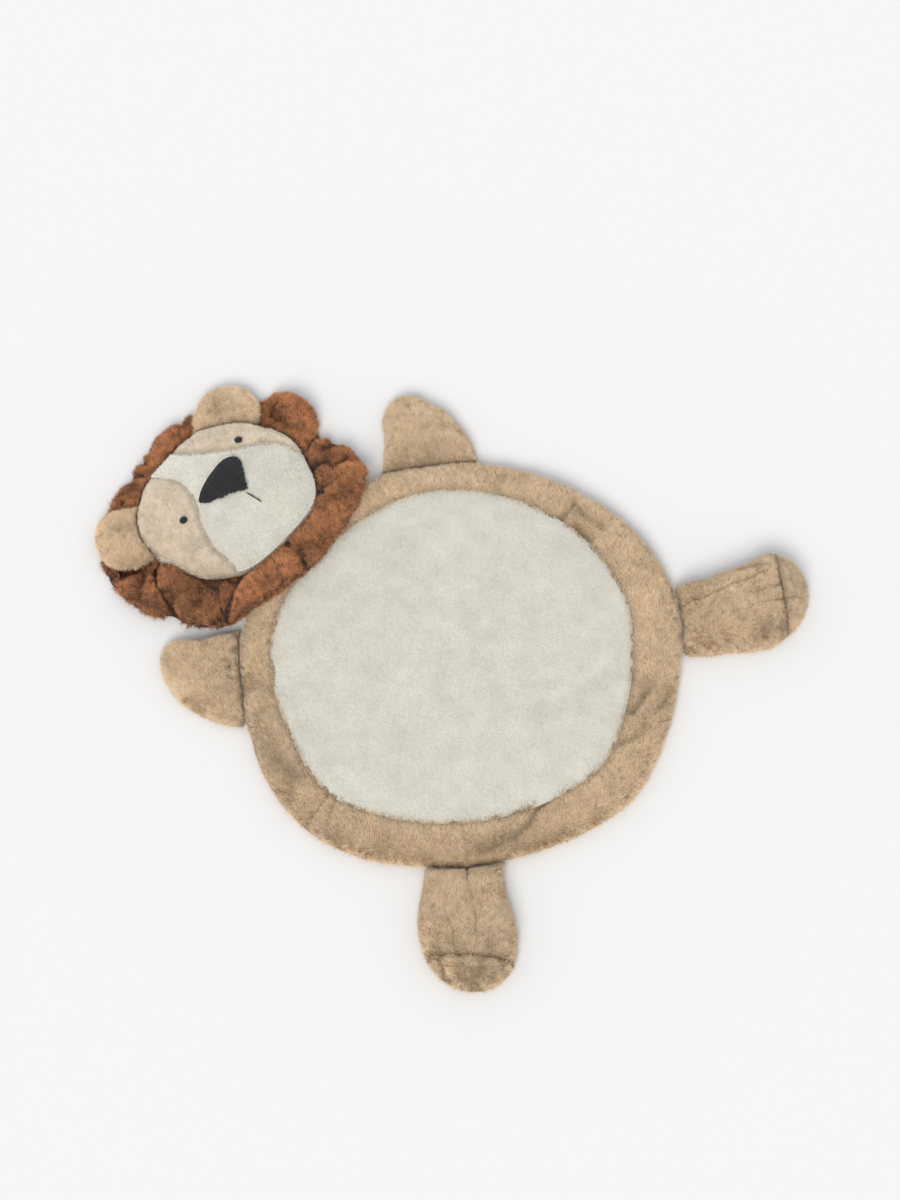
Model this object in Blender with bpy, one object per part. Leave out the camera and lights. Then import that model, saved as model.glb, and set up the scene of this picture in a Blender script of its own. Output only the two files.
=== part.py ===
"""A padded plush play mat in the shape of a lion, lying flat on the floor.

+Y points from the body to the head, +X is the lion's side with the right arm and leg in these names.
Every solid reaches as far as its pile does. Pieces that are sewn together keep a hair's gap.
"""

import math

import bmesh
import bpy
import numpy as np
from mathutils import Matrix, Vector
from mathutils.bvhtree import BVHTree

MM = 0.001

# Driving dimensions, in metres
BODY_RADIUS = 0.300
BELLY_RADIUS = 0.250
FACE_RADIUS = 0.120
MANE_RADIUS = 0.185
FACE_CENTRE = (-0.0126, 0.3986)

# Thicknesses and fits, in metres
BORDER_HEIGHT = 0.038
EDGE_HEIGHT = 0.013
PANEL_THICKNESS = 0.0035
SEWN_GAP = 0.0004
BED_GAP = 0.0006
LAID_GAP = 0.0006
STITCH_HEIGHT = 0.0018
DRAPED_GAP = 0.0020
NECK_REACH = 0.008
PATCH_REACH = 0.0015
EAR_REACH = 0.004
MANE_REACH = 0.016

# The face pad leans: its chin lies on the body's edge and its forehead on the floor
FACE_SEAM_HEIGHT = 0.040
FACE_LEAN = 0.10
FACE_WALL_HEIGHT = 0.007
FACE_WALL_RISE = 0.001
MUZZLE_DROP = 0.0010

# Points around each round piece, halved towards its middle, and around the smaller outlines
SPOKES = 80
MUZZLE_POINTS = 72
NOSE_POINTS = 32
EYE_POINTS = 12
ARM_POINTS = 36
LEG_POINTS = 44
EAR_POINTS = 36

# The outer edge of the body: angle in degrees, share of BODY_RADIUS
BODY_EDGE = (
    (0, 1.017), (12, 1.016), (33, 1.008), (46, 1.002), (60, 1.017), (90, 1.020), (119, 1.017),
    (137, 0.997), (151, 1.028), (165, 1.047), (178, 1.049), (193, 1.016), (207, 0.970), (221, 0.953),
    (236, 0.943), (250, 0.960), (269, 0.990), (286, 0.973), (308, 0.983), (331, 1.028), (342, 1.035),
)

# The seam between border and belly: angle in degrees, share of BELLY_RADIUS
BELLY_EDGE = (
    (1, 0.978), (16, 0.990), (32, 1.003), (45, 1.018), (58, 1.016), (68, 1.000), (95, 1.016),
    (122, 1.042), (135, 1.028), (153, 1.016), (175, 1.041), (191, 0.985), (210, 0.934), (230, 0.912),
    (251, 0.921), (269, 0.947), (289, 0.910), (311, 0.913), (329, 0.950), (345, 0.961),
)

# The edge of the face pad about its centre: angle in degrees, share of FACE_RADIUS
FACE_EDGE = (
    (0, 1.042), (16, 1.027), (30, 1.018), (46, 0.978), (64, 0.975), (72, 0.940), (86, 0.900),
    (100, 0.923), (119, 0.979), (133, 1.022), (146, 1.050), (176, 1.009), (189, 0.992), (202, 1.016),
    (219, 0.992), (229, 0.982), (240, 0.941), (257, 0.890), (274, 0.887), (290, 0.945), (306, 1.020),
    (320, 1.025), (333, 1.008), (346, 1.037),
)

# The mane about the face's centre: angle in degrees, share of MANE_RADIUS, crest over what it lies on in mm
MANE_EDGE = (
    (4, 1.051, 44), (11, 1.064, 46), (18, 1.021, 42), (24, 0.922, 34), (38, 0.865, 30), (50, 0.849, 28),
    (59, 0.843, 29), (72, 0.812, 34), (88, 0.798, 35), (98, 0.783, 27), (105, 0.800, 33), (112, 0.794, 26),
    (120, 0.865, 32), (126, 0.894, 32), (138, 0.951, 30), (148, 1.016, 32), (158, 1.056, 41),
    (166, 1.056, 44), (178, 1.045, 46), (188, 1.030, 43), (195, 0.960, 34), (200, 1.002, 42),
    (209, 1.060, 47), (215, 1.041, 46), (225, 1.022, 37), (232, 0.965, 28), (243, 0.903, 24),
    (259, 0.885, 23), (271, 0.895, 23), (282, 0.893, 24), (294, 0.943, 26), (306, 1.010, 29),
    (318, 1.079, 36), (325, 1.074, 43), (337, 1.015, 43), (347, 0.935, 36), (352, 0.914, 30),
    (356, 0.990, 38),
)

# The underside: share of the way out, and how many times its ring is thinned
BODY_UNDERSIDE = ((0.12, 3), (0.45, 2), (0.75, 1))
FACE_UNDERSIDE = ((0.2, 2), (0.55, 1), (0.8, 1), (0.94, 0))

# The padded rim of the body: inset in mm, then its share of the widest height below or above it
RIM_UNDER = ((20, 0.0), (7, 0.24), (0, 1.0))
RIM_OVER = ((2.5, 0.36), (10, 0.72), (22, 0.96))
SEAM_SHOULDER = (5, 0.96)

# The rise of the belly: share of the way out to its seam, height in mm
BELLY_CROWN = (
    (0.0, 41.0), (0.14, 41.0), (0.32, 40.7), (0.52, 40.2), (0.72, 39.4), (0.87, 38.2), (0.96, 36.2),
    (1.0, 33.5),
)
BELLY_THINNING = {0.87: 1, 0.72: 1, 0.52: 1, 0.32: 2, 0.14: 2}

# The rise of the face over its seam: share of the way out, rise in mm
FACE_CROWN = (
    (0.0, 24.0), (0.2, 23.8), (0.42, 22.8), (0.65, 20.0), (0.82, 15.5), (0.94, 9.2), (0.985, 4.4),
    (1.0, 0.0),
)
FACE_THINNING = {0.82: 1, 0.65: 1, 0.42: 1, 0.2: 2}
PANEL_REACH = 0.985
BED_REACH = 1.03

# Flat places and swellings of the face: x and y from its centre in mm, rise in mm, radius in mm
FACE_SWELLS = (
    (14, -48, 7.0, 52),
    (8, 24, 2.5, 34),
    (-62, 22, -3.0, 30),
    (70, 40, -3.0, 28),
    (-30, 72, -2.0, 26),
)

# The cloth of the muzzle and blaze, points from the face's centre in mm, around from the forehead
MUZZLE_OUTLINE = (
    (-2, 122), (6, 106), (15, 91), (28, 70), (47, 48), (68, 30), (89, 13), (101, -1), (109, -16),
    (112, -38), (110, -62), (104, -92), (60, -125), (0, -130), (-60, -120), (-80, -95), (-76, -72),
    (-75, -44), (-65, -18), (-53, 3), (-38, 21), (-30, 37), (-25, 57), (-26, 80), (-32, 96), (-44, 118),
)

# The embroidered nose, points from the face's centre in mm
NOSE_OUTLINE = (
    (-34, 19), (-22, 27), (-4, 32), (18, 35), (37, 35), (48, 30), (51, 22), (42, 5), (31, -8),
    (19, -22), (4, -11), (-13, -1), (-26, 8),
)

# The embroidered eyes: name, x and y from the face's centre in mm, diameter in mm
EYES = (("eye_left", -66, 20, 11.5), ("eye_right", 75, 40, 11.5))

# Folds pressed into the top: ends in mm about the body's centre, depth in mm, half-width in mm
BODY_FOLDS = (
    (-274, 25, -314, 21, 7.0, 9),
    (-205, 200, -236, 222, 5.0, 10),
    (-84, -238, -146, -222, 5.0, 10),
    (-160, -214, -196, -190, 4.5, 10),
    (112, -222, 128, -246, 4.0, 9),
    (64, -240, 76, -276, 4.0, 9),
    (232, 150, 258, 112, 4.0, 9),
    (262, 44, 268, 4, 4.0, 9),
    (252, -14, 278, -44, 4.5, 9),
)
BELLY_FOLDS = (
    (-140, -54, -112, -92, 1.6, 14),
    (3, -115, 46, -168, 2.0, 16),
    (-60, -150, 20, -190, 1.5, 18),
    (-150, 90, -110, 150, 1.2, 18),
    (120, 20, 160, -60, 1.2, 20),
)
MANE_FOLDS = (
    (108, 366, 148, 352, 8.0, 6),
    (94, 333, 140, 305, 8.0, 6),
    (66, 306, 96, 282, 7.0, 6),
    (-20, 292, -31, 244, 8.0, 6),
    (-31, 250, -127, 280, 9.0, 7),
    (-127, 280, -156, 284, 8.0, 7),
    (-114, 326, -166, 281, 9.0, 7),
    (-142, 400, -172, 384, 8.0, 7),
    (-172, 384, -190, 348, 8.0, 7),
    (-34, 545, -44, 516, 8.0, 7),
    (-66, 536, -66, 512, 8.0, 7),
    (150, 372, 124, 372, 8.0, 7),
    (20, 292, 28, 244, 5.0, 7),
    (128, 432, 176, 444, 5.0, 8),
    (-130, 372, -196, 352, 5.0, 8),
    (6, 520, 14, 548, 5.0, 7),
)

# Sections of the limbs and ears: distance out from the seam, reach to the left and to the right, all in mm
ARM_RIGHT_SECTIONS = (
    (0, 70, 70), (18, 66, 66), (36, 61, 61), (60, 56, 51), (82, 55, 37), (98, 49, 19), (109, 38, 8),
    (116, 26, -5),
)
ARM_LEFT_SECTIONS = (
    (0, 70, 72), (19, 66, 72), (44, 55, 69), (62, 45, 68), (80, 29, 69), (95, 10, 64), (104, -9, 57),
    (108, -24, 48),
)
LEG_RIGHT_SECTIONS = (
    (0, 55, 52), (20, 55, 57), (45, 56, 60), (75, 58, 66), (110, 61, 68), (134, 66, 58), (152, 63, 47),
    (166, 52, 33), (177, 36, 14),
)
LEG_LEFT_SECTIONS = (
    (0, 54, 56), (20, 51, 61), (43, 52, 69), (67, 55, 73), (95, 57, 73), (114, 55, 70), (136, 48, 59),
    (152, 38, 46), (163, 20, 27),
)
EAR_RIGHT_SECTIONS = (
    (0, 46, 48), (12, 46, 54), (26, 43, 55), (41, 38, 51), (54, 30, 43), (64, 18, 35),
)
EAR_LEFT_SECTIONS = (
    (0, 40, 49), (12, 43, 52), (30, 41, 53), (44, 35, 49), (55, 25, 40), (62, 12, 27),
)

# Limbs: name, seam's angle and heading in degrees, sections, tip (out and left) in mm, height in mm
ARMS = (
    ("arm_right", 46.3, 49.0, ARM_RIGHT_SECTIONS, (118, 13), 34),
    ("arm_left", 131.8, 133.0, ARM_LEFT_SECTIONS, (109, -37), 34),
)

# Legs also have the toe cap's seam: distance out in mm, and its turn in degrees
LEGS = (
    ("leg_right", "toe_cap_right", -40.4, -37.0, LEG_RIGHT_SECTIONS, (182, 12), 62, 138, -8),
    ("leg_left", "toe_cap_left", -142.2, 226.0, LEG_LEFT_SECTIONS, (168, -6), 62, 129, -12),
)

# Where a leg's crown starts and ends, as shares of its length
LEG_SPINE = (0.38, 0.57)

# The share of a limb's height at its seam, and how far out it reaches the rest
ARM_SEAM_SHARE = 0.92
ARM_RISE_LENGTH = 0.06
LEG_SEAM_SHARE = 0.80
LEG_RISE_LENGTH = 0.10
TOE_CREASE_SHARE = 0.10
TOE_CREASE_WIDTH = 0.007

# Ears: name, seam's angle and heading in degrees, sections, tip (out and left) in mm, thickness in mm
EARS = (
    ("ear_right", 42.0, 42.0, EAR_RIGHT_SECTIONS, (71, -9), 19),
    ("ear_left", 151.0, 146.0, EAR_LEFT_SECTIONS, (66, -8), 19),
)
EAR_SEAT_HEIGHT = 0.017
EAR_SEAT_FALL = 0.12
EAR_EDGE_HEIGHT = 0.007
EAR_BED_MARGIN = (0.012, 0.026)

# A filled limb in section: share of the way out from its middle, share of its height over its widest line
LIMB_CROWN = ((0.0, 1.0), (0.25, 0.985), (0.5, 0.92), (0.72, 0.78), (0.9, 0.52), (1.0, 0.0))
LIMB_UNDERSIDE = ((0.84, 0.0), (0.95, 0.30))
LIMB_SEAT = 0.45
LIMB_THINNED_WITHIN = 0.7

# The mane in section: share of the way from the face to its outer edge
MANE_CREST_PLACE = 0.42
MANE_UNDERSIDE = (0.12, 0.48, 0.84)
MANE_GROUND_PLACE = 0.6
MANE_TOP = (0.95, 0.85, 0.70, 0.52, 0.34, 0.17)

# The mane's edge over what it lies on, over the floor, its least thickness and the foot of its inner wall
MANE_EDGE_RISE = 0.006
MANE_EDGE_HEIGHT = 0.011
MANE_LEAST = 0.005
MANE_WALL_FOOT = 0.003
MANE_STEP = 0.001

# The heights of the hidden guides, and how fast a stitched patch thins towards its edge
GUIDE_HEIGHT = 0.2
GUIDE_RISE = 0.030
STITCH_FALL = 0.55

# Colours as linear red, green and blue
BEIGE = (0.53, 0.41, 0.28)
PALE_BEIGE = (0.62, 0.51, 0.37)
CREAM = (0.83, 0.82, 0.72)
BROWN = (0.20, 0.09, 0.045)
BLACK = (0.02, 0.02, 0.022)


def through(places, values, wanted):
    """Smooth values at the wanted places, on a curve through the given ones."""
    places = np.asarray(places, float)
    values = np.asarray(values, float)
    slopes = np.gradient(values, places)
    first = np.clip(np.searchsorted(places, wanted, side="right") - 1, 0, len(places) - 2)
    span = places[first + 1] - places[first]
    part = (wanted - places[first]) / span
    rise = values[first + 1] - values[first]
    ease = part * part * (3 - 2 * part)
    start = part * (1 - part) ** 2 * span * slopes[first]
    end = part * part * (part - 1) * span * slopes[first + 1]
    return values[first] + ease * rise + start + end


def around(table, column, angles):
    """One column of a table whose rows start with an angle, as smooth values at the angles in degrees."""
    places = np.array([row[0] for row in table], float)
    values = np.array([row[column] for row in table], float)
    places = np.concatenate((places - 360, places, places + 360))
    return through(places, np.tile(values, 3), np.asarray(angles, float) % 360)


def column(table, wanted):
    return np.array([row[wanted] for row in table], float)


def body_edge(angles):
    return BODY_RADIUS * around(BODY_EDGE, 1, angles)


def belly_edge(angles):
    return BELLY_RADIUS * around(BELLY_EDGE, 1, angles)


def face_edge(angles):
    return FACE_RADIUS * around(FACE_EDGE, 1, angles)


def even_curve(points, count):
    """Count evenly spaced points along a smooth open curve through the given points, both ends included."""
    points = np.asarray(points, float)
    steps = np.linalg.norm(np.diff(points, axis=0), axis=1)
    places = np.concatenate(([0], np.cumsum(steps)))
    fine = np.linspace(0, places[-1], 30 * count)
    curve = np.column_stack([through(places, points[:, axis], fine) for axis in (0, 1)])
    run = np.concatenate(([0], np.cumsum(np.linalg.norm(np.diff(curve, axis=0), axis=1))))
    wanted = np.linspace(0, run[-1], count)
    return np.column_stack([np.interp(wanted, run, curve[:, axis]) for axis in (0, 1)])


def even_loop(points, count):
    """Count evenly spaced points on a smooth closed curve through the given points."""
    points = np.asarray(points, float)
    lead = 3
    wrapped = np.concatenate((points[-lead:], points, points[:lead]))
    steps = np.linalg.norm(np.diff(wrapped, axis=0), axis=1)
    places = np.concatenate(([0], np.cumsum(steps)))
    fine = np.linspace(places[lead], places[lead + len(points)], 40 * count)
    curve = np.column_stack([through(places, wrapped[:, axis], fine) for axis in (0, 1)])
    run = np.concatenate(([0], np.cumsum(np.linalg.norm(np.diff(curve, axis=0), axis=1))))
    wanted = np.linspace(0, run[-1], count, endpoint=False)
    return np.column_stack([np.interp(wanted, run, curve[:, axis]) for axis in (0, 1)])


def pressed(points, folds):
    """How far the folds press the cloth down at each point, in metres."""
    depth = np.zeros(len(points))
    for x0, y0, x1, y1, deep, wide in folds:
        start = np.array((x0, y0)) * MM
        run = np.array((x1, y1)) * MM - start
        along = np.clip((points[:, :2] - start) @ run / (run @ run), 0, 1)
        away = np.linalg.norm(points[:, :2] - start - along[:, None] * run, axis=1)
        depth = np.maximum(depth, deep * MM * np.exp(-((away / (wide * MM)) ** 2)))
    return depth


def ring(plan, heights):
    """One ring of points from its plan and its height or heights."""
    return np.column_stack((plan, np.broadcast_to(heights, len(plan))))


def polar(centre, radii, angles):
    turn = np.radians(angles)
    return np.column_stack((centre[0] + radii * np.cos(turn), centre[1] + radii * np.sin(turn)))


def even_angles(count):
    return np.arange(count) * 360 / count


def thinned(one_ring, times):
    """Every second point of a ring, as many times over as asked."""
    return one_ring[:: 2**times]


def girth(one_ring):
    """The length around a ring of vertices."""
    return sum((one_ring[j].co - one_ring[j - 1].co).length for j in range(len(one_ring)))


def join_rings(bm, lower, upper):
    """The band of faces between two rings with the same count, or with one of them twice the other.

    Its diagonals run from the wider ring to the next spoke, so cloth and its bed get the same facets.
    """
    count = len(lower)
    if len(upper) == count:
        widens = girth(upper) > girth(lower)
        for j in range(count):
            k = (j + 1) % count
            if widens:
                bm.faces.new((lower[j], lower[k], upper[j]))
                bm.faces.new((lower[k], upper[k], upper[j]))
            else:
                bm.faces.new((lower[j], lower[k], upper[k]))
                bm.faces.new((lower[j], upper[k], upper[j]))
        return
    wide, narrow = (lower, upper) if count > len(upper) else (upper, lower)
    flipped = narrow is lower
    for j in range(len(narrow)):
        k = (j + 1) % len(narrow)
        here, middle, there = wide[2 * j], wide[2 * j + 1], wide[(2 * j + 2) % len(wide)]
        for face in ((here, middle, narrow[j]), (middle, there, narrow[k]), (middle, narrow[k], narrow[j])):
            bm.faces.new(tuple(reversed(face)) if flipped else face)


def close_end(bm, end, outward_up):
    """A fan over the first or last ring."""
    middle = bm.verts.new(sum((v.co for v in end), Vector()) / len(end))
    for j in range(len(end)):
        k = (j + 1) % len(end)
        face = (end[j], end[k], middle) if outward_up else (end[k], end[j], middle)
        bm.faces.new(face)


def mesh_of_rings(name, rings, closed_round=False):
    """A closed body from rings that run from the underside's middle out, up and back over the top."""
    bm = bmesh.new()
    made = [[bm.verts.new(point) for point in one_ring] for one_ring in rings]
    for lower, upper in zip(made, made[1:]):
        join_rings(bm, lower, upper)
    if closed_round:
        join_rings(bm, made[-1], made[0])
    else:
        close_end(bm, made[0], False)
        close_end(bm, made[-1], True)
    bmesh.ops.recalc_face_normals(bm, faces=bm.faces)
    mesh = bpy.data.meshes.new(name)
    bm.to_mesh(mesh)
    bm.free()
    return mesh


def cloth(name, colour, roughness=0.95):
    """A plain fabric material."""
    material = bpy.data.materials.new(name)
    material.use_nodes = True
    shader = material.node_tree.nodes["Principled BSDF"]
    shader.inputs["Base Color"].default_value = (*colour, 1)
    shader.inputs["Roughness"].default_value = roughness
    shader.inputs["Metallic"].default_value = 0
    material.diffuse_color = (*colour, 1)
    return material


def add_piece(name, mesh, colour, place):
    """A named object with its own material, whose origin is at a place on the floor."""
    mesh.transform(Matrix.Translation((-place[0], -place[1], 0)))
    mesh.materials.append(cloth(name, colour))
    mesh.shade_smooth()
    mesh.set_sharp_from_angle(angle=math.radians(50))
    piece = bpy.data.objects.new(name, mesh)
    piece.location = (place[0], place[1], 0)
    bpy.context.collection.objects.link(piece)
    return piece


def surface_of(mesh):
    """The mesh as something that another piece can be laid on."""
    mesh.calc_loop_triangles()
    corners = [v.co.copy() for v in mesh.vertices]
    return BVHTree.FromPolygons(corners, [tuple(t.vertices) for t in mesh.loop_triangles])


def rest_height(surfaces, plan, reach):
    """The highest point of the surfaces within reach of each point of the plan, or the floor."""
    turns = np.radians(np.arange(0, 360, 45))
    offsets = [(0.0, 0.0)]
    for share in (0.5, 1.0):
        offsets += [(share * reach * math.cos(t), share * reach * math.sin(t)) for t in turns]
    heights = np.zeros(len(plan))
    for index, (x, y) in enumerate(plan):
        for dx, dy in offsets:
            for surface in surfaces:
                hit = surface.ray_cast(Vector((x + dx, y + dy, 1.0)), Vector((0, 0, -1)))[0]
                if hit is not None:
                    heights[index] = max(heights[index], hit.z)
    return heights


def smoothed_round(values, times):
    """Values around a ring, evened out with their neighbours."""
    for _ in range(times):
        values = (np.roll(values, 1) + 2 * values + np.roll(values, -1)) / 4
    return values


def make_body():
    """The filled disc: a padded rim, a border, and a shallow bed for the belly's cloth."""
    angles = even_angles(SPOKES)
    outer = body_edge(angles)
    seam = belly_edge(angles)
    rings = [thinned(ring(polar((0, 0), outer * share, angles), 0), times) for share, times in BODY_UNDERSIDE]
    for inset, share in RIM_UNDER:
        rings.append(ring(polar((0, 0), outer - inset * MM, angles), EDGE_HEIGHT * share))
    for inset, share in RIM_OVER:
        height = EDGE_HEIGHT + (BORDER_HEIGHT - EDGE_HEIGHT) * share
        rings.append(ring(polar((0, 0), outer - inset * MM, angles), height))
    first_top = len(rings) - 2
    rim = outer - RIM_OVER[-1][0] * MM
    rings.append(ring(polar((0, 0), rim * 0.5 + seam * 0.5, angles), BORDER_HEIGHT))
    out, share = SEAM_SHOULDER
    rings.append(ring(polar((0, 0), seam + out * MM, angles), BORDER_HEIGHT * share))
    seam_height = BELLY_CROWN[-1][1] * MM
    rings.append(ring(polar((0, 0), seam, angles), seam_height))
    for one_ring in rings[first_top:]:
        one_ring[:, 2] -= pressed(one_ring, BODY_FOLDS)
    rings += belly_rings(seam, angles, -PANEL_THICKNESS - BED_GAP)
    return mesh_of_rings("body", rings)


def belly_rings(seam, angles, lift):
    """Rings over the belly from its seam to its middle, raised or lowered from the cloth's top."""
    rings = []
    for share, height in reversed(BELLY_CROWN[1:]):
        one_ring = ring(polar((0, 0), seam * share, angles), height * MM + lift)
        one_ring[:, 2] -= pressed(one_ring, BELLY_FOLDS)
        if share == 1.0:
            one_ring[:, 2] -= pressed(one_ring, BODY_FOLDS)
        rings.append(thinned(one_ring, BELLY_THINNING.get(share, 0)))
    return rings


def make_belly_panel():
    """The belly's cloth, which lies in the body's bed."""
    angles = even_angles(SPOKES)
    seam = belly_edge(angles) - SEWN_GAP
    under = belly_rings(seam, angles, -PANEL_THICKNESS)
    over = belly_rings(seam, angles, 0)
    return mesh_of_rings("belly_panel", under[::-1] + over)


def face_lean(plan):
    """The height of the face's seam, higher at the chin than at the forehead."""
    return FACE_SEAM_HEIGHT - FACE_LEAN * (plan[:, 1] - FACE_CENTRE[1])


def face_top(share, angles, lift):
    """One ring over the face, at a share of the way from its centre to its edge."""
    plan = polar(FACE_CENTRE, face_edge(angles) * share, angles)
    rise = np.interp(share, column(FACE_CROWN, 0), column(FACE_CROWN, 1)) * MM
    height = face_lean(plan) + rise + lift
    for x, y, swell, radius in FACE_SWELLS:
        away = np.hypot(plan[:, 0] - FACE_CENTRE[0] - x * MM, plan[:, 1] - FACE_CENTRE[1] - y * MM)
        fade = 1 - share**6
        height = height + fade * swell * MM * np.exp(-((away / (radius * MM)) ** 2))
    return ring(plan, height)


def face_shares():
    """The shares of the way out at which the face has rings, from its edge to its middle."""
    return [row[0] for row in reversed(FACE_CROWN[1:])]


def make_head(body_surface):
    """The filled face pad, whose chin lies over the body's edge."""
    angles = even_angles(SPOKES)
    edge = face_edge(angles)
    rings = []
    for share, thinning in FACE_UNDERSIDE:
        plan = polar(FACE_CENTRE, edge * share, angles)
        floor = rest_height([body_surface], plan, NECK_REACH)
        lifted = np.where(floor > 0, floor + LAID_GAP, 0)
        rings.append(thinned(ring(plan, lifted), thinning))
    plan = polar(FACE_CENTRE, edge, angles)
    floor = rest_height([body_surface], plan, NECK_REACH)
    wall = np.where(floor > 0, floor + LAID_GAP + FACE_WALL_RISE, FACE_WALL_HEIGHT)
    rings.append(ring(plan, wall))
    rings += [thinned(face_top(share, angles, 0), FACE_THINNING.get(share, 0)) for share in face_shares()]
    return mesh_of_rings("head", rings)


def face_layer(name, lower_lift, upper_lift, reach):
    """A layer that follows the face's top between two heights, out to a share of its edge."""
    angles = even_angles(SPOKES)
    shares = [reach] + [share for share in face_shares() if share < reach and share <= PANEL_REACH]
    layers = []
    for lift in (lower_lift, upper_lift):
        layers.append([thinned(face_top(share, angles, lift), FACE_THINNING.get(share, 0)) for share in shares])
    under, over = layers
    return mesh_of_rings(name, under[::-1] + over)


def prism(name, outline, height):
    """An upright block with the given outline, on the floor."""
    return mesh_of_rings(name, [ring(outline, 0), ring(outline, height)])


def offset_loop(outline, inset):
    """A closed outline moved inwards."""
    run = np.roll(outline, -1, axis=0) - np.roll(outline, 1, axis=0)
    run /= np.linalg.norm(run, axis=1)[:, None]
    inward = np.column_stack((-run[:, 1], run[:, 0]))
    area = np.sum(outline[:, 0] * np.roll(outline[:, 1], -1) - outline[:, 1] * np.roll(outline[:, 0], -1))
    return outline + inward * inset * (1 if area > 0 else -1)


def add_guide(name, mesh):
    """A hidden shape that only cuts others."""
    guide = bpy.data.objects.new(name, mesh)
    guide.hide_render = True
    guide.display_type = "WIRE"
    bpy.context.collection.objects.link(guide)
    return guide


def cut(piece, guide, operation):
    """A Boolean modifier with its exact solver."""
    modifier = piece.modifiers.new(operation.lower(), "BOOLEAN")
    modifier.operation = operation
    modifier.solver = "EXACT"
    modifier.object = guide


def add_face(body_surface):
    """The face pad with its bed, the muzzle's cloth in it, and the nose and eyes on top."""
    outline = even_loop(np.array(MUZZLE_OUTLINE) * MM + FACE_CENTRE, MUZZLE_POINTS)
    head_mesh = make_head(body_surface)
    face_surface = surface_of(head_mesh)
    bed = -MUZZLE_DROP - PANEL_THICKNESS - BED_GAP
    cutter = add_guide("muzzle_bed", face_layer("muzzle_bed", bed, GUIDE_RISE, BED_REACH))
    outer = prism("muzzle_bed_outline", outline, GUIDE_HEIGHT)
    cut(cutter, add_guide("muzzle_bed_outline", outer), "INTERSECT")
    head = add_piece("head", head_mesh, PALE_BEIGE, (0, 0))
    cut(head, cutter, "DIFFERENCE")
    panel_mesh = face_layer("muzzle_panel", bed + BED_GAP, -MUZZLE_DROP, PANEL_REACH)
    panel_surface = surface_of(panel_mesh)
    panel = add_piece("muzzle_panel", panel_mesh, CREAM, (0, 0))
    inner = prism("muzzle_panel_outline", offset_loop(outline, SEWN_GAP), GUIDE_HEIGHT)
    cut(panel, add_guide("muzzle_panel_outline", inner), "INTERSECT")
    nose_outline = even_loop(np.array(NOSE_OUTLINE) * MM + FACE_CENTRE, NOSE_POINTS)
    nose = laid_patch("nose", nose_outline, panel_surface, (0.3, 0.65, 1.0))
    add_piece("nose", nose, BLACK, tuple(nose_outline.mean(axis=0)))
    for name, x, y, diameter in EYES:
        centre = (FACE_CENTRE[0] + x * MM, FACE_CENTRE[1] + y * MM)
        outline = polar(centre, diameter / 2 * MM, even_angles(EYE_POINTS))
        add_piece(name, laid_patch(name, outline, face_surface, (0.6, 1.0)), BLACK, centre)


def laid_patch(name, outline, surface, shares):
    """A thin embroidered patch that follows what it lies on, with rings at shares of the way out."""
    middle = outline.mean(axis=0)
    under = []
    over = []
    for share in shares:
        plan = middle + share * (outline - middle)
        base = rest_height([surface], plan, PATCH_REACH) + LAID_GAP
        under.append(ring(plan, base))
        over.append(ring(plan, base + STITCH_HEIGHT * (1 - STITCH_FALL * share**3)))
    return mesh_of_rings(name, under + over[::-1])


def ear_seats():
    """For each ear its outline, its seam's middle and its heading."""
    seats = []
    for _, turn, heading, sections, tip, _ in EARS:
        root = polar(FACE_CENTRE, face_edge(np.array([turn])), np.array([turn]))[0]
        outline = limb_outline(root, heading, sections, tip, FACE_CENTRE, face_edge, EAR_POINTS)
        seats.append((outline, root, math.radians(heading)))
    return seats


def ear_seat_height(plan, root, heading):
    """The height of the bed that an ear presses into the mane."""
    out = (plan[:, 0] - root[0]) * math.cos(heading) + (plan[:, 1] - root[1]) * math.sin(heading)
    return EAR_SEAT_HEIGHT - EAR_SEAT_FALL * np.clip(out, 0, 0.07)


def distance_outside(plan, outline):
    """How far each point lies outside an outline, or 0 within it."""
    ends = np.roll(outline, -1, axis=0)
    result = []
    for x, y in plan:
        crosses = (outline[:, 1] > y) != (ends[:, 1] > y)
        rise = np.where(ends[:, 1] == outline[:, 1], 1, ends[:, 1] - outline[:, 1])
        across = outline[:, 0] + (y - outline[:, 1]) / rise * (ends[:, 0] - outline[:, 0])
        within = np.count_nonzero(crosses & (x < across)) % 2 == 1
        away = np.min(np.hypot(outline[:, 0] - x, outline[:, 1] - y))
        result.append(0.0 if within else away)
    return np.array(result)


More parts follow.
